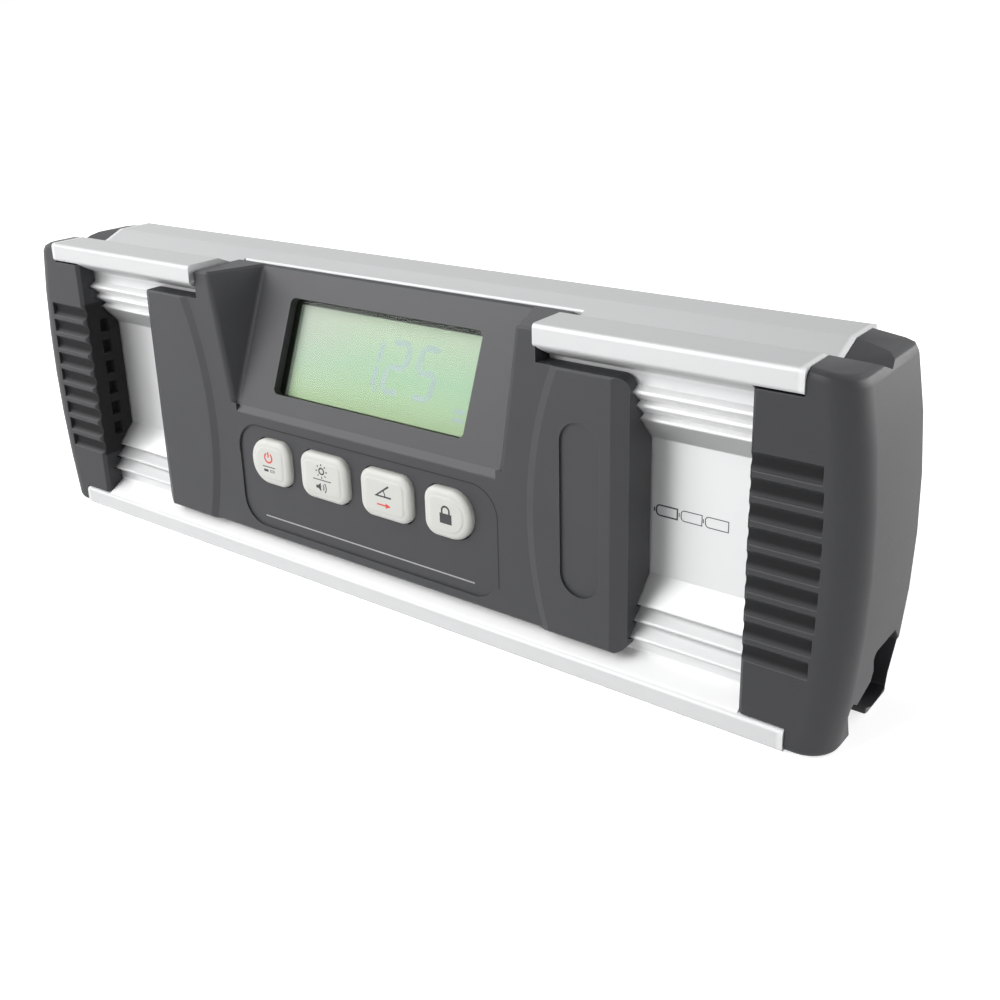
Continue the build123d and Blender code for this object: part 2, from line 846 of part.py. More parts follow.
tube = tube - beam_rod(bore_radius, tube_left + tube_end, tube_right + 1)
lead_room = lead_half + touch_gap
battery_tube = tube - block(
    tube_left - 1,
    tube_left + tube_end + 1,
    cell_d - lead_room,
    cell_d + lead_room,
    cell_z - lead_room,
    cell_z + lead_room,
)
cells = []
for i in range(cell_count):
    start = stack_end + i * cell_length
    can = beam_rod(cell_radius, start, start + cell_length - nub_length)
    cells.append(can + beam_rod(nub_radius, start + cell_length - nub_length, start + cell_length))

# Contacts
plate_half = 0.7 * cell_radius
leaf_line = Polyline(
    (0, -plate_half),
    (contact_thick, -plate_half),
    (spring_room - touch_gap, 0.3),
    (spring_room - touch_gap, 1.8),
    (spring_room - touch_gap - contact_thick, 1.8),
    (spring_room - touch_gap - contact_thick, 0.6),
    (contact_thick, contact_thick - plate_half),
    (contact_thick, plate_half),
    (0, plate_half),
    close=True,
)
leaf_plane = Plane((tube_left + tube_end, depth(cell_d), cell_z), x_dir=(1, 0, 0), z_dir=(0, -1, 0))
spring_contact = extrude(leaf_plane * make_face(leaf_line), amount=contact_width / 2, both=True)
strip_top = tube_top + contact_thick
return_strip = block(
    tube_left,
    tube_right,
    cell_d - contact_width / 2,
    cell_d + contact_width / 2,
    tube_top,
    strip_top,
)
plate_x = nub_end + touch_gap
leg_low = strip_top + touch_gap
cap_contact = block(
    plate_x,
    plate_x + contact_thick,
    cell_d - contact_width / 2,
    cell_d + contact_width / 2,
    cell_z - plate_half,
    leg_low + contact_thick,
)
cap_contact = cap_contact + block(
    tube_right - 2 * contact_width,
    plate_x + contact_thick,
    cell_d - contact_width / 2,
    cell_d + contact_width / 2,
    leg_low,
    leg_low + contact_thick,
)
contact_post = beam_rod(0.8 * cell_radius, plate_x + contact_thick, beam_half + 0.5)
right_end_cap = cap + contact_post


# Flat-sided leads from the sleeve to the back of the board
def make_lead(points):
    path = FilletPolyline(*[(x, depth(d), z) for x, d, z in points], radius=lead_bend)
    end = Plane(path @ 0, x_dir=(0, 1, 0), z_dir=path % 0) * Rectangle(2 * lead_half, 2 * lead_half)
    return sweep(end, path=path)


lead_d = board_back + lead_half
lead_low = board_high - lead_foot
wire_left = tube_left - 2 * lead_half
positive_lead = make_lead(
    [
        (lead_x, cell_d, strip_top),
        (lead_x, cell_d, lead_rise),
        (lead_x, lead_d, lead_rise),
        (lead_x, lead_d, lead_low),
    ]
)
negative_lead = make_lead(
    [
        (tube_left + tube_end, cell_d, cell_z),
        (wire_left, cell_d, cell_z),
        (wire_left, cell_d, lead_rise),
        (-lead_x, cell_d, lead_rise),
        (-lead_x, lead_d, lead_rise),
        (-lead_x, lead_d, lead_low),
    ]
)

nodes = {
    "beam_extrusion": beam_extrusion,
    "left_end_cap": left_end_cap,
    "right_end_cap": right_end_cap,
    "left_cap_seal": left_cap_seal,
    "right_cap_seal": right_cap_seal,
    "display_housing": display_housing,
    "housing_gasket": Compound(children=housing_gasket),
    "display_window": display_window,
    "lcd_panel": lcd_panel,
    "lcd_backlight": lcd_backlight,
    "lcd_holder": lcd_holder,
    "holder_screws": Compound(children=holder_screws),
    "lcd_flex": lcd_flex,
    "main_board": main_board,
    "board_screws": Compound(children=board_screws),
    "mcu_chip": mcu_chip,
    "tilt_sensor": tilt_sensor,
    "buzzer": buzzer,
    "keypad_mat": keypad_mat,
    "key_power": key_power,
    "key_light": key_light,
    "key_mode": key_mode,
    "key_hold": key_hold,
    "battery_tube": battery_tube,
    "battery_cell_1": cells[0],
    "battery_cell_2": cells[1],
    "battery_cell_3": cells[2],
    "spring_contact": spring_contact,
    "cap_contact": cap_contact,
    "return_strip": return_strip,
    "positive_lead": positive_lead,
    "negative_lead": negative_lead,
}
for name, shape in nodes.items():
    export_step(shape, f"parts/{name}.step")
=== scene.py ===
import json
import math
import bpy
import numpy as np
from mathutils import Matrix, Vector


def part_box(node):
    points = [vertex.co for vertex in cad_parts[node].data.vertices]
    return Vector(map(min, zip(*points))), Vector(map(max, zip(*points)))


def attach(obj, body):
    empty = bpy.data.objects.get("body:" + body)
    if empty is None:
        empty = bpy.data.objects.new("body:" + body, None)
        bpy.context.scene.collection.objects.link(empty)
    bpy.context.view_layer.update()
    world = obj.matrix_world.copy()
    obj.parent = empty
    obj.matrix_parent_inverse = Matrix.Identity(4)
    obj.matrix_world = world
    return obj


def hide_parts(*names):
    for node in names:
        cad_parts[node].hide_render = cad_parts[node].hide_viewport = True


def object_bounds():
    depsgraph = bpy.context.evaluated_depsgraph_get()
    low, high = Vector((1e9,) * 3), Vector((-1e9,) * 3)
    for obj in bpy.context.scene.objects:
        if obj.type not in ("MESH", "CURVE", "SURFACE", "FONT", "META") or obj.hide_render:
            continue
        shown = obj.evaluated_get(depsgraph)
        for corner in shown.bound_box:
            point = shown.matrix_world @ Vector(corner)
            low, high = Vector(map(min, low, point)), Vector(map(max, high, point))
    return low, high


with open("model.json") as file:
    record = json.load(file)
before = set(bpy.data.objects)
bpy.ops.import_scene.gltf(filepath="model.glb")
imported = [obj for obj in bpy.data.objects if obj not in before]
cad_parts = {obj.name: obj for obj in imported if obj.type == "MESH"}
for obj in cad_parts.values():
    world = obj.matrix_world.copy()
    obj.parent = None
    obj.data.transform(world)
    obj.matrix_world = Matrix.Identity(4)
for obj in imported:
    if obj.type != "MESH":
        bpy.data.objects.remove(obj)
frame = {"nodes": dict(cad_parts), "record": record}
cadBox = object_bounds()
nodes = frame["nodes"]
scene = bpy.context.scene
print("frame loaded with", len(nodes), "nodes")

mm = 0.001  # lengths are in mm, unless a note says metres
lowCorner, highCorner = cadBox
frontLine = lowCorner.y / mm  # the front of the lips
middleHeight = (lowCorner.z + highCorner.z) / 2 / mm  # half way up the beam

# the tilted display face: a point on it, and its slope
displayFace = {"depth": 2.4, "height": 39.1, "tilt": math.radians(21.8)}


# node tree helpers

# the Mix node has several sockets of one name, so they go by number
mixInputs = {"factor": 0, "firstValue": 2, "secondValue": 3, "firstColour": 6, "secondColour": 7}
mixOutputs = {"value": 0, "colour": 2}


def addNode(tree, kind, values=None, **settings):
    node = tree.nodes.new(kind)
    for key, value in settings.items():
        setattr(node, key, value)
    for key, value in (values or {}).items():
        node.inputs[key].default_value = value
    return node


def join(tree, source, target):
    tree.links.new(source, target)


# a socket is joined, a plain value is set
def feed(tree, source, target):
    if isinstance(source, bpy.types.NodeSocket):
        join(tree, source, target)
    else:
        target.default_value = source


def calculate(tree, operation, *values, clamp=False):
    node = addNode(tree, "ShaderNodeMath", operation=operation, use_clamp=clamp)
    for value, socket in zip(values, node.inputs):
        feed(tree, value, socket)
    return node.outputs["Value"]


def mixColours(tree, factor, first, second, blend="MIX"):
    node = addNode(tree, "ShaderNodeMix", data_type="RGBA", blend_type=blend)
    feed(tree, factor, node.inputs[mixInputs["factor"]])
    feed(tree, first, node.inputs[mixInputs["firstColour"]])
    feed(tree, second, node.inputs[mixInputs["secondColour"]])
    return node.outputs[mixOutputs["colour"]]


def mixValues(tree, factor, first, second):
    node = addNode(tree, "ShaderNodeMix")
    feed(tree, factor, node.inputs[mixInputs["factor"]])
    feed(tree, first, node.inputs[mixInputs["firstValue"]])
    feed(tree, second, node.inputs[mixInputs["secondValue"]])
    return node.outputs[mixOutputs["value"]]


# low to high as a value goes from nought to one
def spread(tree, value, low, high):
    node = addNode(tree, "ShaderNodeMapRange", {"To Min": low, "To Max": high})
    join(tree, value, node.inputs["Value"])
    return node.outputs["Result"]


# nought to one as a value goes from low to high, or from high to low
def between(tree, value, nought, one):
    node = addNode(tree, "ShaderNodeMapRange", {"From Min": nought, "From Max": one})
    join(tree, value, node.inputs["Value"])
    return node.outputs["Result"]


def splitPlace(tree, place):
    split = addNode(tree, "ShaderNodeSeparateXYZ")
    join(tree, place, split.inputs["Vector"])
    return split.outputs


def opaque(colour):
    return (*colour, 1.0)


def grey(level):
    return (level, level, level, 1.0)


# shared effects

# a group takes a place and some numbers with their usual values, and gives numbers
def newGroup(name, numbers, results):
    group = bpy.data.node_groups.new(name, "ShaderNodeTree")
    group.interface.new_socket("Vector", in_out="INPUT", socket_type="NodeSocketVector")
    for title, value in numbers.items():
        socket = group.interface.new_socket(title, in_out="INPUT", socket_type="NodeSocketFloat")
        socket.default_value = value
    for title in results:
        group.interface.new_socket(title, in_out="OUTPUT", socket_type="NodeSocketFloat")
    start = group.nodes.new("NodeGroupInput")
    end = group.nodes.new("NodeGroupOutput")
    return group, start.outputs, end.inputs


def placeGroup(tree, group, place, values):
    node = addNode(tree, "ShaderNodeGroup")
    node.node_tree = group
    join(tree, place, node.inputs["Vector"])
    for key, value in values.items():
        node.inputs[key].default_value = value
    return node.outputs


# two noises in one group: the fine one is a height, the broad one a tone
def noisePair(name, look):
    group, given, wanted = newGroup(name, look["scales"], ("Height", "Tone"))
    place = given["Vector"]
    if "stretch" in look:
        stretch = addNode(group, "ShaderNodeMapping", {"Scale": look["stretch"]})
        join(group, place, stretch.inputs["Vector"])
        place = stretch.outputs["Vector"]
    for size, scale, result in zip(("fine", "broad"), look["scales"], ("Height", "Tone")):
        noise = addNode(group, "ShaderNodeTexNoise", look[size])
        join(group, place, noise.inputs["Vector"])
        join(group, given[scale], noise.inputs["Scale"])
        join(group, noise.outputs["Fac"], wanted[result])
    return group


# moulded grain: fine noise for the spark-eroded skin, broad noise for its blotches
mouldGrain = noisePair("mouldGrain", {
    "scales": {"Grain": 3200.0, "Blotch": 90.0},
    "fine": {"Detail": 2.0, "Roughness": 0.6}, "broad": {"Detail": 4.0, "Roughness": 0.55},
})

# draw lines: noise stretched along X, as a die leaves it on an extrusion
drawLines = noisePair("drawLines", {
    "scales": {"Lines": 2600.0, "Bands": 260.0}, "stretch": (0.02, 1.0, 1.0),
    "fine": {"Detail": 3.0, "Roughness": 0.65}, "broad": {"Detail": 2.0, "Roughness": 0.5},
})

# edge wear and painted sheen: one less the dot product of the rounded normal and the true one, times a gain
# and a noise; it lightens edges, partly as wear and partly as a painted highlight
wearAndSheenLook = {
    "width": 0.3, "gain": 4.0, "samples": 4, "patches": {"Scale": 700.0, "Detail": 3.0}, "share": (0.3, 1.5),
}
edgeWearAndSheen, given, wanted = newGroup(
    "edgeWearAndSheen", {"Width": wearAndSheenLook["width"] * mm, "Gain": wearAndSheenLook["gain"]}, ("Mask",),
)
rounded = addNode(edgeWearAndSheen, "ShaderNodeBevel", samples=wearAndSheenLook["samples"])
join(edgeWearAndSheen, given["Width"], rounded.inputs["Radius"])
trueNormal = addNode(edgeWearAndSheen, "ShaderNodeNewGeometry")
alike = addNode(edgeWearAndSheen, "ShaderNodeVectorMath", operation="DOT_PRODUCT")
join(edgeWearAndSheen, rounded.outputs["Normal"], alike.inputs[0])
join(edgeWearAndSheen, trueNormal.outputs["Normal"], alike.inputs[1])
turned = calculate(edgeWearAndSheen, "SUBTRACT", 1.0, alike.outputs["Value"])
gained = calculate(edgeWearAndSheen, "MULTIPLY", turned, given["Gain"], clamp=True)
patches = addNode(edgeWearAndSheen, "ShaderNodeTexNoise", wearAndSheenLook["patches"])
join(edgeWearAndSheen, given["Vector"], patches.inputs["Vector"])
patchy = spread(edgeWearAndSheen, patches.outputs["Fac"], *wearAndSheenLook["share"])
join(edgeWearAndSheen, calculate(edgeWearAndSheen, "MULTIPLY", gained, patchy, clamp=True), wanted["Mask"])
print("shared effects made:", [group.name for group in bpy.data.node_groups])


# materials

def newMaterial(name, values=None):
    material = bpy.data.materials.new(name)
    material.use_nodes = True
    tree = material.node_tree
    shader = tree.nodes["Principled BSDF"]
    for key, value in (values or {}).items():
        shader.inputs[key].default_value = value
    place = addNode(tree, "ShaderNodeTexCoord").outputs["Object"]
    return material, tree, shader, place


def bumpFrom(tree, shader, height, strength, depth):
    bump = addNode(tree, "ShaderNodeBump", {"Strength": strength, "Distance": depth * mm})
    join(tree, height, bump.inputs["Height"])
    join(tree, bump.outputs["Normal"], shader.inputs["Normal"])


# a stretch of an axis as two limits, each from where a mask is nought to where it is one
def stretchOf(axis, start, full, fade, end):
    return ((axis, start, full), (axis, end, fade))


# one inside a box with soft sides: the product of a ramp at each limit
def boxMask(tree, place, limits):
    split = splitPlace(tree, place)
    aboveMiddle = calculate(tree, "SUBTRACT", split["Z"], middleHeight * mm)
    values = {
        "outward": calculate(tree, "ABSOLUTE", split["X"]), "back": split["Y"], "height": split["Z"],
        "fromMiddle": calculate(tree, "ABSOLUTE", aboveMiddle),
    }
    ramps = [between(tree, values[axis], nought * mm, one * mm) for axis, nought, one in limits]
    mask = ramps[0]
    for ramp in ramps[1:]:
        mask = calculate(tree, "MULTIPLY", mask, ramp)
    return mask


# the colour times one, more or less by the drift
def driftedColour(tree, look, tone):
    factor = spread(tree, tone, 1.0 - look["drift"], 1.0 + look["drift"])
    return mixColours(tree, 1.0, opaque(look["colour"]), factor, "MULTIPLY")


def driftedRough(tree, look, height):
    return spread(tree, height, look["rough"] - look["roughDrift"], look["rough"] + look["roughDrift"])


# lighter edges: partly wear, partly a painted highlight
def wornAndSheenColour(tree, place, look, colour):
    wear = placeGroup(tree, edgeWearAndSheen, place, {"Width": look["edgeWidth"] * mm, "Gain": look["edgeGain"]})
    return mixColours(tree, wear["Mask"], colour, opaque(look["edge"]))


bumpDepths = {"moulding": 0.04, "metal": 0.03}


# a moulding: base colour with blotches, paler edges that are partly wear and partly painted highlight, a fine
# skin in bump and roughness
def moulding(name, look):
    material, tree, shader, place = newMaterial(name)
    grain = placeGroup(tree, mouldGrain, place, {"Grain": look["grain"]})
    colour = driftedColour(tree, look, grain["Tone"])
    if "edge" in look:
        colour = wornAndSheenColour(tree, place, look, colour)
    rough = driftedRough(tree, look, grain["Height"])
    for region in look.get("regions", ()):
        mask = boxMask(tree, place, region["limits"])
        colour = mixColours(tree, mask, colour, opaque(region["colour"]))
        rough = mixValues(tree, mask, rough, region["rough"])
    join(tree, colour, shader.inputs["Base Color"])
    join(tree, rough, shader.inputs["Roughness"])
    bumpFrom(tree, shader, grain["Height"], look["bump"], bumpDepths["moulding"])
    return material


# a metal: draw lines or brushing in colour, roughness and bump, with brighter edges that are partly wear and
# partly painted highlight
def drawnMetal(name, look):
    material, tree, shader, place = newMaterial(name, {"Metallic": look["metallic"]})
    lines = placeGroup(tree, drawLines, place, {"Lines": look["lines"], "Bands": look["bands"]})
    grain = placeGroup(tree, mouldGrain, place, {"Grain": look["grain"]})
    colour = driftedColour(tree, look, lines["Tone"])
    if "edge" in look:
        colour = wornAndSheenColour(tree, place, look, colour)
    if "regions" in look:
        metallic = look["metallic"]
        for region in look["regions"]:
            mask = boxMask(tree, place, region["limits"])
            colour = mixColours(tree, mask, colour, opaque(region["colour"]))
            metallic = mixValues(tree, mask, metallic, region["metallic"])
        join(tree, metallic, shader.inputs["Metallic"])
    join(tree, colour, shader.inputs["Base Color"])
    join(tree, driftedRough(tree, look, lines["Height"]), shader.inputs["Roughness"])
    height = calculate(tree, "MULTIPLY_ADD", grain["Height"], look["grainShare"], lines["Height"])
    bumpFrom(tree, shader, height, look["bump"], bumpDepths["metal"])
    if "across" in look:  # the draw lines spread a reflection across themselves
        shader.inputs["Anisotropic"].default_value = look["across"]
        around = addNode(tree, "ShaderNodeTangent", direction_type="RADIAL", axis="X")
        join(tree, around.outputs["Tangent"], shader.inputs["Tangent"])
    return material


channel = stretchOf("back", -15.0, -14.3, -2.0, 0.0)
aluminiumLook = {
    "colour": (0.6, 0.603, 0.608), "metallic": 0.25,  # the anodised skin scatters most of the light
    # the edge colour is partly wear and partly a painted highlight
    "edge": (0.86, 0.86, 0.865), "edgeWidth": 0.25, "edgeGain": 5.0,
    "lines": 2400.0, "bands": 220.0, "grain": 9000.0, "grainShare": 0.8,
    "drift": 0.035, "rough": 0.42, "roughDrift": 0.05, "bump": 0.1, "across": 0.8,
    "regions": (
        {  # painted light: paler in the channel between the lips
            "colour": (0.75, 0.753, 0.758), "metallic": 0.28,
            "limits": channel + (("fromMiddle", 32.5, 31.5),),
        },
        {  # painted light: palest on the slopes behind the lips
            "colour": (0.97, 0.971, 0.973), "metallic": 0.0,
            "limits": (
                stretchOf("back", -14.8, -14.4, -9.5, -9.0)
                + stretchOf("fromMiddle", 27.6, 28.0, 31.5, 32.5)
            ),
        },
        {  # painted light: pale on the upper ribs
            "colour": (0.9, 0.902, 0.905), "metallic": 0.15,
            "limits": channel + stretchOf("height", 54.3, 54.8, 60.6, 61.4),
        },
        {  # painted dark reflection: darker on the slope under them
            "colour": (0.48, 0.482, 0.486), "metallic": 0.28,
            "limits": channel + stretchOf("height", 49.2, 49.7, 54.1, 54.6),
        },
        {  # painted shadow of the upper lip: darker on the face under it
            "colour": (0.5, 0.503, 0.508), "metallic": 0.28,
            "limits": channel + stretchOf("height", 61.2, 65.5, 66.7, 67.2),
        },
        {  # painted shade: the lower ribs are a little darker than the web
            "colour": (0.62, 0.623, 0.628), "metallic": 0.28,
            "limits": channel + stretchOf("height", 9.5, 10.2, 16.2, 17.0),
        },
        {  # the measuring faces above and below are darker
            "colour": (0.52, 0.523, 0.528), "metallic": 0.3,
            "limits": stretchOf("back", -15.0, -14.3, 14.9, 15.3) + (("fromMiddle", 31.7, 32.3),),
        },
        {  # the sawn ends are bare
            "colour": (0.8, 0.802, 0.806), "metallic": 0.0,
            "limits": (("outward", 98.7, 99.3), ("back", 15.0, 14.5), ("fromMiddle", 29.0, 30.0)),
        },
    ),
}
blackLook = {
    # the edge colour is partly wear and partly a painted highlight
    "colour": (0.033, 0.0332, 0.0366), "edge": (0.06, 0.061, 0.064), "edgeWidth": 0.4, "edgeGain": 2.5,
    "grain": 3600.0, "drift": 0.14, "rough": 0.5, "roughDrift": 0.06, "bump": 0.35,
}
paintedGrooveShade = {  # painted shade on the floors of the grip grooves, which are also duller
    "colour": (0.005, 0.005, 0.006), "rough": 0.95,
    "limits": (
        stretchOf("back", -14.6, -13.9, -3.6, -3.0)
        + (("outward", 104.5, 103.9), ("fromMiddle", 20.7, 20.1))
    ),
}
endCapLook = {**blackLook, "colour": (0.015, 0.0152, 0.018), "regions": (paintedGrooveShade,)}
keyLook = {
    "colour": (0.685, 0.688, 0.652), "grain": 2600.0, "drift": 0.02, "rough": 0.46, "roughDrift": 0.05,
    "bump": 0.12,
}
rubberLook = {
    "colour": (0.02, 0.02, 0.021), "grain": 1500.0, "drift": 0.2, "rough": 0.75, "roughDrift": 0.08,
    "bump": 0.3,
}
whiteLook = {
    "colour": (0.78, 0.78, 0.76), "grain": 2400.0, "drift": 0.03, "rough": 0.5, "roughDrift": 0.05,
    "bump": 0.15,
}
chipLook = {
    "colour": (0.022, 0.022, 0.023), "grain": 5000.0, "drift": 0.12, "rough": 0.6, "roughDrift": 0.06,
    "bump": 0.3,
}
flexLook = {
    "colour": (0.55, 0.25, 0.05), "grain": 900.0, "drift": 0.1, "rough": 0.35, "roughDrift": 0.05,
    "bump": 0.1,
}
guideLook = {
    "colour": (0.82, 0.9, 0.8), "grain": 1200.0, "drift": 0.03, "rough": 0.25, "roughDrift": 0.05,
    "bump": 0.05,
}
redLeadLook = {
    "colour": (0.45, 0.025, 0.02), "grain": 1500.0, "drift": 0.08, "rough": 0.4, "roughDrift": 0.05,
    "bump": 0.1,
}
blackLeadLook = {
    "colour": (0.015, 0.015, 0.016), "grain": 1500.0, "drift": 0.1, "rough": 0.4, "roughDrift": 0.05,
    "bump": 0.1,
}
steelLook = {
    "colour": (0.58, 0.58, 0.6), "metallic": 1.0, "lines": 4000.0, "bands": 300.0, "grain": 6000.0,
    "grainShare": 0.5, "drift": 0.06, "rough": 0.3, "roughDrift": 0.08, "bump": 0.12,
}
contactLook = {
    "colour": (0.66, 0.65, 0.62), "metallic": 1.0, "lines": 5000.0, "bands": 400.0, "grain": 5000.0,
    "grainShare": 0.4, "drift": 0.05, "rough": 0.26, "roughDrift": 0.06, "bump": 0.1,
}
finishes = {
    "anodised_aluminium": drawnMetal("satinAnodisedAluminium", aluminiumLook),
    "black_plastic": moulding("sparkedBlackPlastic", blackLook),
    "key_plastic": moulding("offWhiteKeyPlastic", keyLook),
    "seal_rubber": moulding("sealRubber", rubberLook),
    "white_plastic": moulding("whiteHolderPlastic", whiteLook),
    "chip_black": moulding("matteChipBlack", chipLook),
    "flex_film": moulding("amberFlexFilm", flexLook),
    "light_guide": moulding("frostedLightGuide", guideLook),
    "red_lead": moulding("redLeadJacket", redLeadLook),
    "black_lead": moulding("blackLeadJacket", blackLeadLook),
    "screw_steel": drawnMetal("platedScrewSteel", steelLook),
    "contact_metal": drawnMetal("nickelContact", contactLook),
}

# board laminate: solder mask over a woven ground, copper runs as paler bands
boardLook = {
    "mask": (0.012, 0.09, 0.035), "run": (0.02, 0.14, 0.055), "rough": 0.35, "bump": 0.1, "bumpDepth": 0.02,
    "weave": {"Scale": 1600.0, "Distortion": 0.6}, "runs": {"Scale": 420.0, "Mortar Size": 0.03},
}


def boardLaminate(name, look):
    material, tree, shader, place = newMaterial(name, {"Roughness": look["rough"]})
    weave = addNode(tree, "ShaderNodeTexWave", look["weave"])
    runs = addNode(tree, "ShaderNodeTexBrick", look["runs"])
    for texture in (weave, runs):
        join(tree, place, texture.inputs["Vector"])
    colour = mixColours(tree, runs.outputs["Fac"], opaque(look["mask"]), opaque(look["run"]))
    join(tree, colour, shader.inputs["Base Color"])
    bumpFrom(tree, shader, weave.outputs["Fac"], look["bump"], look["bumpDepth"])
    return material


finishes["board_laminate"] = boardLaminate("greenBoardLaminate", boardLook)

# cell jacket: a dark sleeve with a copper-coloured band, which comes again at each cell's length along X
cellLook = {
    "sleeve": (0.03, 0.034, 0.04), "band": (0.5, 0.29, 0.12), "length": 44.5, "bandShare": 0.28,
    "metallic": 0.7, "rough": 0.32, "foil": {"Grain": 1800.0, "Blotch": 120.0}, "drift": 0.08,
    "bump": 0.06, "bumpDepth": 0.02,
}


def cellJacket(name, look):
    values = {"Metallic": look["metallic"], "Roughness": look["rough"]}
    material, tree, shader, place = newMaterial(name, values)
    along = splitPlace(tree, place)["X"]
    lengths = calculate(tree, "DIVIDE", along, look["length"] * mm)
    band = calculate(tree, "LESS_THAN", calculate(tree, "FRACT", lengths), look["bandShare"])
    colour = mixColours(tree, band, opaque(look["sleeve"]), opaque(look["band"]))
    foil = placeGroup(tree, mouldGrain, place, look["foil"])
    tone = spread(tree, foil["Tone"], 1.0 - look["drift"], 1.0 + look["drift"])
    join(tree, mixColours(tree, 1.0, colour, tone, "MULTIPLY"), shader.inputs["Base Color"])
    bumpFrom(tree, shader, foil["Height"], look["bump"], look["bumpDepth"])
    return material


finishes["cell_jacket"] = cellJacket("foilCellJacket", cellLook)

# display glass: yellow-green below, mint in the middle, pale above and greyer at the upper left, moved about
# by a cloud, with a dark strip on the left and a darker rim
lcdLook = {
    "ramp": ((0.05, (0.425, 0.575, 0.325)), (0.5, (0.39, 0.58, 0.395)), (0.95, (0.5, 0.6, 0.45))),
    "greyed": (0.5, 0.54, 0.465), "rim": (0.03, 0.036, 0.026), "strip": (0.2, 0.25, 0.19),
    "low": 41.5, "high": 61.5, "half": 26.0,
    "cloud": {"Scale": 55.0, "Detail": 1.0}, "cloudShift": (-0.17, 0.18),
    "stripLeft": -25.2, "stripSoft": 0.6, "rimLeft": -26.4, "rimTop": 61.3, "rimBottom": 42.1, "rimSoft": 0.3,
    "rough": 0.6, "gloss": 0.1, "rows": 3000.0, "bump": 0.03, "bumpDepth": 0.01,
}


def displayGlass(name, look):
    values = {"Roughness": look["rough"], "Specular IOR Level": look["gloss"]}
    material, tree, shader, place = newMaterial(name, values)
    split = splitPlace(tree, place)
    upward = between(tree, split["Z"], look["low"] * mm, look["high"] * mm)
    leftward = between(tree, split["X"], 0.0, -look["half"] * mm)
    cloud = addNode(tree, "ShaderNodeTexNoise", look["cloud"])
    join(tree, place, cloud.inputs["Vector"])
    ramp = addNode(tree, "ShaderNodeValToRGB")
    stops = ramp.color_ramp.elements
    stops.new(look["ramp"][1][0])
    for stop, (position, colour) in zip(stops, look["ramp"]):
        stop.position = position
        stop.color = opaque(colour)
    clouded = calculate(tree, "ADD", upward, spread(tree, cloud.outputs["Fac"], *look["cloudShift"]))
    join(tree, clouded, ramp.inputs["Fac"])
    greyShare = calculate(tree, "MULTIPLY", leftward, upward)
    colour = mixColours(tree, greyShare, ramp.outputs["Color"], opaque(look["greyed"]))
    stripEnd = look["stripLeft"] - look["stripSoft"]
    strip = between(tree, split["X"], look["stripLeft"] * mm, stripEnd * mm)
    colour = mixColours(tree, strip, colour, opaque(look["strip"]))
    for axis, edge, side in (("X", "rimLeft", -1), ("Z", "rimTop", 1), ("Z", "rimBottom", -1)):
        rimEnd = look[edge] + side * look["rimSoft"]
        rim = between(tree, split[axis], look[edge] * mm, rimEnd * mm)
        colour = mixColours(tree, rim, colour, opaque(look["rim"]))
    join(tree, colour, shader.inputs["Base Color"])
    rows = addNode(tree, "ShaderNodeTexWave", {"Scale": look["rows"]}, bands_direction="Z")
    join(tree, place, rows.inputs["Vector"])
    bumpFrom(tree, shader, rows.outputs["Fac"], look["bump"], look["bumpDepth"])
    return material


finishes["lcd_glass"] = displayGlass("lcdGlass", lcdLook)

# window: clear plastic that lets the lamps through
windowLook = {"colour": (0.93, 0.97, 0.94), "ior": 1.15, "blotch": 60.0, "rough": (0.01, 0.05)}


def clearPlastic(name, look):
    values = {"Base Color": opaque(look["colour"]), "Transmission Weight": 1.0, "IOR": look["ior"]}
    material, tree, shader, place = newMaterial(name, values)
    grain = placeGroup(tree, mouldGrain, place, {"Blotch": look["blotch"]})
    join(tree, spread(tree, grain["Tone"], *look["rough"]), shader.inputs["Roughness"])
    return material


finishes["clear_window"] = clearPlastic("clearWindowPlastic", windowLook)
print("materials made:", len(finishes))

for part in frame["record"]["subparts"]:
    for materialSlot in nodes[part["node"]].material_slots:
        materialSlot.material = finishes[part["material_slot"]]
endCaps = ("left_end_cap", "right_end_cap")
gripped = moulding("grippedBlackPlastic", endCapLook)
for name in endCaps:
    nodes[name].material_slots[0].material = gripped
window = nodes["display_window"]
window.visible_shadow = False  # the lamps and the bounced light reach the display
window.visible_diffuse = False


# soft edges on the end caps: flat faces merged, edges broken, shading weighted by area
edgeBreak = {
    "weld": 0.002, "flat": math.radians(0.4), "width": 0.15, "segments": 2, "angle": math.radians(28),
    "weight": 60,
}


def softenNode(name):
    piece = nodes[name]
    weld = piece.modifiers.new("weld", "WELD")
    weld.merge_threshold = edgeBreak["weld"] * mm
    flat = piece.modifiers.new("flat", "DECIMATE")
    flat.decimate_type = "DISSOLVE"
    flat.angle_limit = edgeBreak["flat"]
    bevel = piece.modifiers.new("bevel", "BEVEL")
    bevel.width = edgeBreak["width"] * mm
    bevel.segments = edgeBreak["segments"]
    bevel.limit_method = "ANGLE"
    bevel.angle_limit = edgeBreak["angle"]
    bevel.use_clamp_overlap = False
    bevel.miter_outer = "MITER_ARC"
    weighted = piece.modifiers.new("weighted", "WEIGHTED_NORMAL")
    weighted.mode = "FACE_AREA"
    weighted.weight = edgeBreak["weight"]


for name in endCaps:
    softenNode(name)
print("edges broken on", len(endCaps), "nodes")


# mesh helpers: a piece is a grid of points, rings by places, put in as whole arrays

# X and Z as given, Y at a depth behind the front of the lips
def toFront(x, z, depth):
    return np.stack([x * mm, np.broadcast_to((depth + frontLine) * mm, np.shape(x)), z * mm], axis=-1)


# the same on the tilted display face: up the slope, and inward square to it
def toDisplay(x, up, inward):
    sine = math.sin(displayFace["tilt"])
    cosine = math.cos(displayFace["tilt"])
    y = displayFace["depth"] + frontLine + up * sine + inward * cosine
    z = displayFace["height"] + up * cosine - inward * sine
    return np.stack([x * mm, y * mm, z * mm], axis=-1)


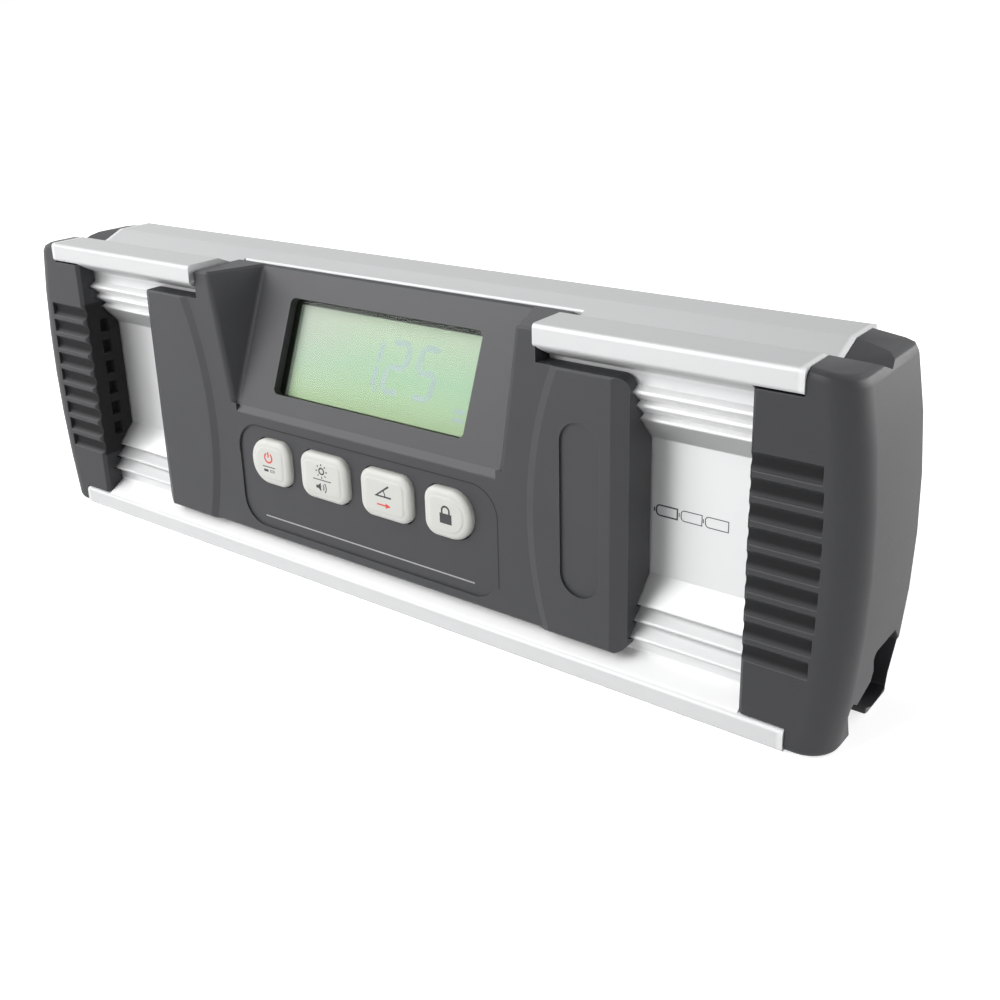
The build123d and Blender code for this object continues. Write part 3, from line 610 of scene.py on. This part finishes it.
# four corners a face: a place, the next place on its ring, and the same two on the next ring
def quadRows(rings, places, closedRings):
    index = np.arange(rings * places).reshape(rings, places)
    nextPlace = np.roll(index, -1, axis=1)
    if closedRings:
        nextRing = np.roll(index, -1, axis=0)
        nextBoth = np.roll(nextPlace, -1, axis=0)
        corners = (index, nextPlace, nextBoth, nextRing)
    else:
        corners = (index[:-1], nextPlace[:-1], nextPlace[1:], index[1:])
    return np.stack(corners, axis=-1).reshape(-1, 4), index


# the sum over two triangles a face of the triple product of their corners, six times the volume
def signedVolume(points, quads):
    a, b, c, d = (points[quads[:, i]] for i in range(4))
    firstHalves = np.einsum("ij,ij->i", a, np.cross(b, c)).sum()
    return firstHalves + np.einsum("ij,ij->i", a, np.cross(c, d)).sum()


# rings: array rings by places by 3, each ring closed; both ends get one flat face unless the rings close
def shellPart(rings, closedRings=False):
    count, places = rings.shape[:2]
    points = rings.reshape(-1, 3)
    faces, index = quadRows(count, places, closedRings)
    centre = points.mean(axis=0)
    caps = [] if closedRings else [index[0][::-1], index[-1]]
    fans = [np.stack([np.full(places - 2, cap[0]), cap[1:-1], cap[2:], cap[2:]], axis=-1) for cap in caps]
    if signedVolume(points - centre, np.concatenate([faces] + fans)) < 0:  # turned outwards
        faces = faces[:, ::-1]
        caps = [cap[::-1] for cap in caps]
    return points, [face.tolist() for face in faces] + [cap.tolist() for cap in caps]


sharpAngle = 0.7  # radians between faces, over which an edge stays sharp


# one mesh of all the parts, which rides on a body
def buildPiece(name, parts, body, material):
    points = []
    faces = []
    for partPoints, partFaces in parts:
        base = len(points)
        points.extend(partPoints.tolist())
        faces.extend([[base + i for i in face] for face in partFaces])
    mesh = bpy.data.meshes.new(name)
    mesh.from_pydata(points, [], faces)
    mesh.polygons.foreach_set("use_smooth", np.ones(len(mesh.polygons), bool))
    mesh.set_sharp_from_angle(angle=sharpAngle)
    mesh.update()
    mesh.materials.append(material)
    piece = bpy.data.objects.new(name, mesh)
    scene.collection.objects.link(piece)
    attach(piece, body)
    return piece


inkLayer = {"over": 0.02, "under": 0.03, "leastCosine": 0.4}  # the last keeps sharp corners short


# each vector over its own length
def unit(vectors):
    return vectors / np.linalg.norm(vectors, axis=1, keepdims=True)


# a stripe of ink: a flat rectangle carried along a path in a plane, from just under to just over the surface,
# its corners mitred along the mean of the normals before and after them
def inkStripe(path, width, place, surface, closed=False):
    path = np.asarray(path, float)
    if closed:
        ahead = np.roll(path, -1, axis=0) - path
        behind = path - np.roll(path, 1, axis=0)
    else:
        steps = np.diff(path, axis=0)
        ahead = np.concatenate([steps, steps[-1:]])
        behind = np.concatenate([steps[:1], steps])
    ahead = unit(ahead)
    behind = unit(behind)
    normalAhead = np.stack([-ahead[:, 1], ahead[:, 0]], axis=-1)
    normalBehind = np.stack([-behind[:, 1], behind[:, 0]], axis=-1)
    side = unit(normalAhead + normalBehind)
    cosine = np.einsum("ij,ij->i", side, normalAhead)
    reach = width / 2 / np.maximum(cosine, inkLayer["leastCosine"])
    left = path + side * reach[:, None]
    right = path - side * reach[:, None]
    top = surface - inkLayer["over"]
    bottom = surface + inkLayer["under"]
    rings = np.stack([
        place(left[:, 0], left[:, 1], top), place(right[:, 0], right[:, 1], top),
        place(right[:, 0], right[:, 1], bottom), place(left[:, 0], left[:, 1], bottom),
    ], axis=1)
    return shellPart(rings, closedRings=closed)


# a patch of ink: a flat outline with the same thickness
def inkPatch(outline, place, surface):
    outline = np.asarray(outline, float)
    depths = (surface - inkLayer["over"], surface + inkLayer["under"])
    return shellPart(np.stack([place(outline[:, 0], outline[:, 1], depth) for depth in depths]))


# the middle plus the radius times the cosine and the sine of an even turn
def arc(x, z, radius, fromDegrees, toDegrees, count):
    turn = np.radians(np.linspace(fromDegrees, toDegrees, count))
    return np.stack([x + radius * np.cos(turn), z + radius * np.sin(turn)], axis=-1)


# the four corners of a rectangle
def block(left, low, right, high):
    return [(left, low), (right, low), (right, high), (left, high)]


# keys: rounded rectangles of each ring's own half sizes and rounds, from the crown round the rim to the pill
keyShape = {
    "crown": 0.1, "crownInset": 2.05, "crownShares": (0.3, 0.7, 1.0),
    "stepDrop": 0.17, "stepShares": (0.2, 0.4, 0.6, 0.8, 1.0),
    "rimInset": 1.45, "rimStart": 0.08, "rimSteps": 12, "wallDepth": 1.35, "leastRound": 0.25,
    "flangeFront": 3.85, "flangeBack": 4.65, "flange": 0.9, "flangeEdge": 0.05,
    "pillBack": 5.35, "pill": 2.5, "pillRound": 0.4, "pillCore": 0.5, "pillCoreRound": 0.1,
    "cornerSteps": 14,
}
keySides = {  # left round, right round
    "power": (5.3, 3.2), "light": (3.2, 3.2), "mode": (3.2, 3.2), "hold": (3.2, 5.3),
}


# each ring: half width, half height, left round, right round, depth; four arcs joined by straight runs
def roundedRings(table, centreX, centreZ):
    columns = (np.asarray(column, float)[:, None] for column in zip(*table))
    halfWide, halfTall, leftRound, rightRound, depth = columns
    turn = np.linspace(0, math.pi / 2, keyShape["cornerSteps"])[None, :]
    quarters = []
    for quarter, (sideX, sideZ) in enumerate(((1, 1), (-1, 1), (-1, -1), (1, -1))):
        angle = turn + quarter * math.pi / 2
        corner = rightRound if sideX > 0 else leftRound
        x = sideX * (halfWide - corner) + corner * np.cos(angle)
        z = sideZ * (halfTall - corner) + corner * np.sin(angle)
        quarters.append(toFront(centreX + x, centreZ + z, np.broadcast_to(depth, x.shape)))
    return np.concatenate(quarters, axis=1)


# the rings as insets from the outline: a flat crown, half a cosine wave down to the rim, a quarter of an
# ellipse round it, a straight wall, the flange and the pill
def keyRings(halfWide, halfTall, leftRound, rightRound):
    shape = keyShape
    rings = []

    def ring(inset, depth):
        left = max(leftRound - inset, shape["leastRound"])
        right = max(rightRound - inset, shape["leastRound"])
        rings.append((halfWide - inset, halfTall - inset, left, right, depth))

    def squareRing(half, corner, depth):
        rings.append((half, half, corner, corner, depth))

    for share in shape["crownShares"]:
        ring(halfTall - (halfTall - shape["crownInset"]) * share, shape["crown"])
    for share in shape["stepShares"]:
        drop = shape["stepDrop"] * (1 - math.cos(math.pi * share)) / 2
        ring(shape["crownInset"] - (shape["crownInset"] - shape["rimInset"]) * share, shape["crown"] + drop)
    rimTop = shape["crown"] + shape["stepDrop"]
    for share in np.linspace(shape["rimStart"], 1.0, shape["rimSteps"]):
        angle = share * math.pi / 2
        drop = (shape["wallDepth"] - rimTop) * (1 - math.cos(angle))
        ring(shape["rimInset"] * (1 - math.sin(angle)), rimTop + drop)
    ring(0.0, shape["flangeFront"] - shape["flangeEdge"])
    ring(0.0, shape["flangeFront"])
    ring(-shape["flange"], shape["flangeFront"])
    ring(-shape["flange"], shape["flangeBack"])
    squareRing(shape["pill"], shape["pillRound"], shape["flangeBack"])
    squareRing(shape["pill"], shape["pillRound"], shape["pillBack"])
    squareRing(shape["pillCore"], shape["pillCoreRound"], shape["pillBack"])
    return rings


keyCentres = {}
for title, (leftRound, rightRound) in keySides.items():
    low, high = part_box("key_" + title)
    centreX = (low.x + high.x) / 2 / mm
    centreZ = (low.z + high.z) / 2 / mm
    halfWide = (high.x - low.x) / 2 / mm - keyShape["flange"]
    halfTall = (high.z - low.z) / 2 / mm - keyShape["flange"]
    keyCentres[title] = (centreX, centreZ)
    rings = roundedRings(keyRings(halfWide, halfTall, leftRound, rightRound), centreX, centreZ)
    keyCap = [shellPart(rings)]
    key = buildPiece(title + "KeyCap", keyCap, title + "_key", finishes["key_plastic"])
    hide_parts("key_" + title)
print("keys made:", keyCentres)


# the inner face of each lip slopes: a wedge along X whose height is a power of the way back
lipSlope = {
    "front": 0.4, "back": 5.65, "foot": 4.3, "under": 0.05, "rise": 3.0, "power": 0.85, "steps": 12,
    "half": 90.9, "notchHalf": 48.1,
}


def lipWedge(left, right, upper):
    way = np.linspace(0.0, 1.0, lipSlope["steps"])
    depth = lipSlope["front"] + (lipSlope["back"] - lipSlope["front"]) * way
    depth = np.append(depth, [lipSlope["back"], lipSlope["front"]])
    height = lipSlope["foot"] + lipSlope["rise"] * way ** lipSlope["power"]
    height = np.append(height, [lipSlope["foot"] - lipSlope["under"]] * 2)
    if upper:
        height = 2 * middleHeight - height
    return shellPart(np.stack([toFront(np.full(depth.shape, x), height, depth) for x in (left, right)]))


lipWedges = [
    lipWedge(-lipSlope["half"], lipSlope["half"], False),
    lipWedge(-lipSlope["half"], -lipSlope["notchHalf"], True),
    lipWedge(lipSlope["notchHalf"], lipSlope["half"], True),
]
buildPiece("lipSlopes", lipWedges, "level", finishes["anodised_aluminium"])
print("lip slopes made")


# inks
inkLook = {"grain": 4000.0, "drift": 0.05, "roughDrift": 0.05, "bump": 0.08}


def inkMaterial(name, colour, rough):
    return moulding(name, {**inkLook, "colour": colour, "rough": rough})


darkInk = inkMaterial("darkKeyInk", (0.035, 0.035, 0.04), 0.5)
redInk = inkMaterial("redKeyInk", (0.72, 0.08, 0.06), 0.5)
seamShadePaint = inkMaterial("seamShade", (0.004, 0.004, 0.0045), 0.7)
greyInk = inkMaterial("palePanelInk", (0.4, 0.4, 0.41), 0.5)
webInk = inkMaterial("greyWebInk", (0.05, 0.05, 0.054), 0.55)
segmentInk = inkMaterial("lcdSegment", (0.355, 0.465, 0.43), 0.6)


# key legends: plain signs on the crown, drawn round each key's middle
def onKey(title):
    centreX, centreZ = keyCentres[title]

    def place(x, z, depth):
        return toFront(centreX + x, centreZ + z, depth)

    return place


crown = keyShape["crown"]
signLine = {"bold": 0.42, "thin": 0.22}

# on and off: a broken ring with a stroke, over a rule, a filled block and an open one
powerShape = {
    "ringHeight": 1.4, "ringRadius": 1.15, "ringFrom": 122, "ringTo": 418, "ringSteps": 40,
    "stroke": [(0.0, 1.5), (0.0, 2.85)], "rule": [(-2.0, -0.85), (2.0, -0.85)],
    "filled": block(-1.7, -2.1, -0.3, -1.5), "open": block(0.4, -2.0, 1.6, -1.55), "openLine": 0.14,
}
place = onKey("power")
powerRing = arc(
    0.0, powerShape["ringHeight"], powerShape["ringRadius"], powerShape["ringFrom"], powerShape["ringTo"],
    powerShape["ringSteps"],
)
buildPiece("powerSign", [
    inkStripe(powerRing, signLine["bold"], place, crown),
    inkStripe(powerShape["stroke"], signLine["bold"], place, crown),
], "power_key", redInk)
buildPiece("powerBar", [
    inkStripe(powerShape["rule"], signLine["thin"], place, crown),
    inkPatch(powerShape["filled"], place, crown),
    inkStripe(powerShape["open"], powerShape["openLine"], place, crown, closed=True),
], "power_key", darkInk)

# light and sound: a disc's outline with rays, over a rule, a horn and two waves
lightShape = {
    "sunHeight": 1.85, "discRadius": 0.72, "discSteps": 16, "discLine": 0.34,
    "rays": 8, "rayFrom": 1.25, "rayTo": 1.75, "line": 0.26, "rule": [(-2.7, -0.25), (2.7, -0.25)],
    "horn": [(-1.9, -2.35), (-1.25, -2.35), (-0.45, -3.05), (-0.45, -0.95), (-1.25, -1.65), (-1.9, -1.65)],
    "waveX": -0.5, "waveHeight": -2.0, "waveHalf": 42, "waves": ((0.95, 12), (1.65, 14)),  # radius, steps
}
place = onKey("light")


# from one distance to another, away from the disc's middle
def sunRay(angle):
    along = np.array([math.cos(angle), math.sin(angle)])
    return [(0.0, lightShape["sunHeight"]) + along * lightShape[end] for end in ("rayFrom", "rayTo")]


# an arc round the horn's mouth, as far up as down
def soundWave(radius, steps):
    half = lightShape["waveHalf"]
    return arc(lightShape["waveX"], lightShape["waveHeight"], radius, -half, half, steps)


rayAngles = np.arange(lightShape["rays"]) * 2 * math.pi / lightShape["rays"]
lightSign = [inkStripe(sunRay(angle), lightShape["line"], place, crown) for angle in rayAngles]
lastTurn = 360 - 360 / lightShape["discSteps"]
disc = arc(0.0, lightShape["sunHeight"], lightShape["discRadius"], 0, lastTurn, lightShape["discSteps"])
lightSign.append(inkStripe(disc, lightShape["discLine"], place, crown, closed=True))
lightSign.append(inkStripe(lightShape["rule"], signLine["thin"], place, crown))
lightSign.append(inkPatch(lightShape["horn"], place, crown))
for radius, steps in lightShape["waves"]:
    lightSign.append(inkStripe(soundWave(radius, steps), lightShape["line"], place, crown))
buildPiece("lightAndSoundSigns", lightSign, "light_key", darkInk)

# mode: an angle with its arc, over an arrow
modeShape = {
    "corner": (-2.1, 0.1), "baseEnd": (2.1, 0.1), "armEnd": (1.5, 2.7),
    "arcRadius": 2.5, "arcFrom": 2, "arcTo": 34, "arcSteps": 12, "arcLine": 0.28,
    "shaft": [(-2.0, -1.9), (0.6, -1.9)], "shaftLine": 0.34, "head": [(0.5, -2.5), (1.9, -1.9), (0.5, -1.3)],
}
place = onKey("mode")
angleLine = [modeShape["baseEnd"], modeShape["corner"], modeShape["armEnd"]]
angleArc = arc(
    *modeShape["corner"], modeShape["arcRadius"], modeShape["arcFrom"], modeShape["arcTo"],
    modeShape["arcSteps"],
)
buildPiece("modeSign", [
    inkStripe(angleLine, signLine["bold"], place, crown),
    inkStripe(angleArc, modeShape["arcLine"], place, crown),
], "mode_key", darkInk)
buildPiece("modeMark", [
    inkStripe(modeShape["shaft"], modeShape["shaftLine"], place, crown),
    inkPatch(modeShape["head"], place, crown),
], "mode_key", redInk)

# hold: a padlock
holdShape = {
    "lock": block(-1.55, -1.9, 1.55, 0.35), "bowHalf": 0.95, "bowFoot": 0.3, "bowHeight": 1.0, "bowSteps": 16,
}
place = onKey("hold")
bow = np.concatenate([
    [(-holdShape["bowHalf"], holdShape["bowFoot"])],
    arc(0.0, holdShape["bowHeight"], holdShape["bowHalf"], 180, 0, holdShape["bowSteps"]),
    [(holdShape["bowHalf"], holdShape["bowFoot"])],
])
buildPiece("holdSign", [
    inkPatch(holdShape["lock"], place, crown),
    inkStripe(bow, signLine["bold"], place, crown),
], "hold_key", darkInk)

# painted shade for the dark gap over and right of the keypad: a dark stripe with two rounded corners, beside
# the recess
keypadSeam = {
    "half": 37.62, "top": 35.32, "leftEnd": 27.5, "rightEnd": 13.5, "round": 6.6, "cornerSteps": 14,
    "width": 0.26, "depth": 1.35,
}
bendX = keypadSeam["half"] - keypadSeam["round"]
bendZ = keypadSeam["top"] - keypadSeam["round"]
seamLine = np.concatenate([
    [(-keypadSeam["half"], keypadSeam["leftEnd"])],
    arc(-bendX, bendZ, keypadSeam["round"], 180, 90, keypadSeam["cornerSteps"]),
    arc(bendX, bendZ, keypadSeam["round"], 90, 0, keypadSeam["cornerSteps"]),
    [(keypadSeam["half"], keypadSeam["rightEnd"])],
])
buildPiece("keypadSeam", [
    inkStripe(seamLine, keypadSeam["width"], toFront, keypadSeam["depth"]),
], "level", seamShadePaint)

# a thin printed line on the keypad panel
panelPrint = {"height": 12.7, "half": 31.0, "width": 0.32, "depth": 1.75}
panelLine = [(-panelPrint["half"], panelPrint["height"]), (panelPrint["half"], panelPrint["height"])]
buildPiece("panelLine", [
    inkStripe(panelLine, panelPrint["width"], toFront, panelPrint["depth"]),
], "level", greyInk)

# three cell outlines printed on the web, tip to tail: rounded at the tip end, the first one heavier
webPrint = {
    "cells": ((68.0, 72.4, 0.3), (73.2, 77.5, 0.18), (78.2, 82.85, 0.18)),  # left, right, line
    "low": 34.0, "high": 36.1, "round": 0.75, "cornerSteps": 8, "tip": 0.42, "tipHalf": 0.4, "depth": 11.0,
}


# a rectangle with two rounded corners on the left
def cellOutline(left, right):
    low = webPrint["low"]
    high = webPrint["high"]
    corner = webPrint["round"]
    steps = webPrint["cornerSteps"]
    return np.concatenate([
        [(right, low), (right, high)],
        arc(left + corner, high - corner, corner, 90, 180, steps),
        arc(left + corner, low + corner, corner, 180, 270, steps),
    ])


# a short upright line left of the outline, at half its height
def cellTip(left):
    middle = (webPrint["low"] + webPrint["high"]) / 2
    x = left - webPrint["tip"]
    return [(x, middle - webPrint["tipHalf"]), (x, middle + webPrint["tipHalf"])]


cellMarks = []
for left, right, line in webPrint["cells"]:
    cellMarks.append(inkStripe(cellOutline(left, right), line, toFront, webPrint["depth"], closed=True))
    cellMarks.append(inkStripe(cellTip(left), line, toFront, webPrint["depth"]))
buildPiece("cellOutlines", cellMarks, "level", webInk)
print("printed marks made")

# seven-bar digits on the display, leaning, with a point, and a small mark of two bars
digitShape = {
    "low": 10.2, "tall": 10.7, "wide": 4.9, "bar": 1.4, "gap": 0.14, "lean": 0.1, "surface": 3.3,
    "point": block(-0.95, -0.6, 0.15, 0.5),
}
digitBars = {"1": "bc", "2": "abged", "5": "afgcd"}
readout = (("1", -6.45), ("2", 1.25), ("5", 9.65))  # character, left
levelMark = {"left": 21.5, "right": 24.5, "low": 7.0, "bar": 1.05, "step": 1.75, "count": 2}


# a bar is a six-sided patch with a point at each end
def barOutline(start, end):
    start = np.asarray(start, float)
    end = np.asarray(end, float)
    along = (end - start) / np.linalg.norm(end - start)
    side = np.array([-along[1], along[0]]) * digitShape["bar"] / 2
    tip = along * digitShape["bar"] / 2
    start = start + along * digitShape["gap"]
    end = end - along * digitShape["gap"]
    return [start, start + tip - side, end - tip - side, end, end - tip + side, start + tip + side]


# moved to the right by the lean times the height
def leaned(outline):
    x, z = np.asarray(outline, float).T
    return np.stack([x + digitShape["lean"] * z, z + digitShape["low"]], axis=-1)


# bars a to f go round clockwise from the top, and g crosses the middle
def digit(character, left):
    right = left + digitShape["wide"]
    tall = digitShape["tall"]
    middle = tall / 2
    ends = {
        "a": ((left, tall), (right, tall)), "b": ((right, middle), (right, tall)),
        "c": ((right, 0), (right, middle)), "d": ((left, 0), (right, 0)), "e": ((left, 0), (left, middle)),
        "f": ((left, middle), (left, tall)), "g": ((left, middle), (right, middle)),
    }
    return [leaned(barOutline(*ends[bar])) for bar in digitBars[character]]


segments = [outline for character, left in readout for outline in digit(character, left)]
segments.append(leaned(digitShape["point"]))
for i in range(levelMark["count"]):
    low = levelMark["low"] + i * levelMark["step"]
    segments.append(block(levelMark["left"], low, levelMark["right"], low + levelMark["bar"]))
digits = [inkPatch(outline, toDisplay, digitShape["surface"]) for outline in segments]
buildPiece("lcdDigits", digits, "level", segmentInk)
print("display digits made")

# floor, world and lamps: a white studio, in metres
studio = {
    "floorColour": 0.86, "floorHalf": 4.0, "floorHeight": -0.0003,
    "nearGlow": 0.72, "farGlow": 1.0, "near": 0.25, "far": 0.9, "backdrop": 1.0, "fill": 0.12,
}


# one where the eye, a reflection or the window looks straight at the studio, nought where it only lights
def seenDirectly(tree):
    path = addNode(tree, "ShaderNodeLightPath").outputs
    eyeOrGloss = calculate(tree, "MAXIMUM", path["Is Camera Ray"], path["Is Glossy Ray"])
    return calculate(tree, "MAXIMUM", eyeOrGloss, path["Is Transmission Ray"])


floorMesh = bpy.data.meshes.new("floor")
floorHalf = studio["floorHalf"]
corners = block(-floorHalf, -floorHalf, floorHalf, floorHalf)
floorMesh.from_pydata([(x, y, studio["floorHeight"]) for x, y in corners], [], [(0, 1, 2, 3)])
floor = bpy.data.objects.new("floor", floorMesh)
scene.collection.objects.link(floor)
material = bpy.data.materials.new("whiteFloor")
material.use_nodes = True
tree = material.node_tree
tree.nodes.clear()
output = addNode(tree, "ShaderNodeOutputMaterial")
matte = addNode(tree, "ShaderNodeBsdfDiffuse", {"Color": grey(studio["floorColour"])})
glow = addNode(tree, "ShaderNodeEmission", {"Color": grey(1.0)})
distance = addNode(tree, "ShaderNodeVectorMath", operation="LENGTH")
join(tree, addNode(tree, "ShaderNodeTexCoord").outputs["Object"], distance.inputs[0])
farShare = between(tree, distance.outputs["Value"], studio["near"], studio["far"])
shine = spread(tree, farShare, studio["nearGlow"], studio["farGlow"])
join(tree, calculate(tree, "MULTIPLY", seenDirectly(tree), shine), glow.inputs["Strength"])
total = addNode(tree, "ShaderNodeAddShader")
join(tree, matte.outputs["BSDF"], total.inputs[0])
join(tree, glow.outputs["Emission"], total.inputs[1])
join(tree, total.outputs["Shader"], output.inputs["Surface"])
floorMesh.materials.append(material)

world = bpy.data.worlds.new("studioWorld")
scene.world = world
world.use_nodes = True
tree = world.node_tree
tree.nodes.clear()
output = addNode(tree, "ShaderNodeOutputWorld")
sky = addNode(tree, "ShaderNodeBackground", {"Color": grey(1.0)})
join(tree, spread(tree, seenDirectly(tree), studio["fill"], studio["backdrop"]), sky.inputs["Strength"])
join(tree, sky.outputs["Background"], output.inputs["Surface"])

lampAim = (0.0, 0.0, 0.03)  # metres
lamps = {  # place, width and height in metres, and watts
    "frontLeftPanel": ((-0.83, -1.06, 0.67), 1.28, 0.64, 14.5),
    "highLeftPanel": ((-0.64, -0.8, 1.2), 1.28, 0.8, 9.5),
    "frontRightPanel": ((1.12, -0.96, 0.64), 0.96, 0.8, 1.5),
    "leftPanel": ((-1.52, 0.0, 0.64), 0.96, 0.96, 1.6),
    "rightBackPanel": ((1.09, 1.15, 0.46), 1.5, 0.9, 19.0),
}
for title, (spot, wide, tall, watts) in lamps.items():
    panel = bpy.data.lights.new(title, "AREA")
    panel.shape = "RECTANGLE"
    panel.size = wide
    panel.size_y = tall
    panel.energy = watts
    lamp = bpy.data.objects.new(title, panel)
    scene.collection.objects.link(lamp)
    lamp.visible_camera = False
    lamp.location = spot
    lamp.rotation_euler = (Vector(lampAim) - Vector(spot)).to_track_quat("-Z", "Y").to_euler()
print("studio lit by", len(lamps), "panels")

# camera: where the photograph was taken from, place and near clip in metres
viewpoint = {
    "place": (0.17219, -0.19134, 0.13020), "nearClip": 0.01,
    "right": (0.78979, 0.61248, -0.0333), "down": (0.18416, -0.28857, -0.93958),
    "ahead": (-0.58508, 0.73594, -0.3407),
    "sensor": 36.0, "lens": 44.153, "shiftX": 0.0317, "shiftY": -0.0769,
}
cameraData = bpy.data.cameras.new("camera")
cameraData.sensor_width = viewpoint["sensor"]
cameraData.lens = viewpoint["lens"]
cameraData.shift_x = viewpoint["shiftX"]
cameraData.shift_y = viewpoint["shiftY"]
cameraData.clip_start = viewpoint["nearClip"]
camera = bpy.data.objects.new("camera", cameraData)
scene.collection.objects.link(camera)
axes = np.array([viewpoint["right"], np.negative(viewpoint["down"]), np.negative(viewpoint["ahead"])]).T
camera.matrix_world = Matrix.Translation(viewpoint["place"]) @ Matrix(axes.tolist()).to_4x4()
scene.camera = camera
scene.view_settings.view_transform = "Standard"
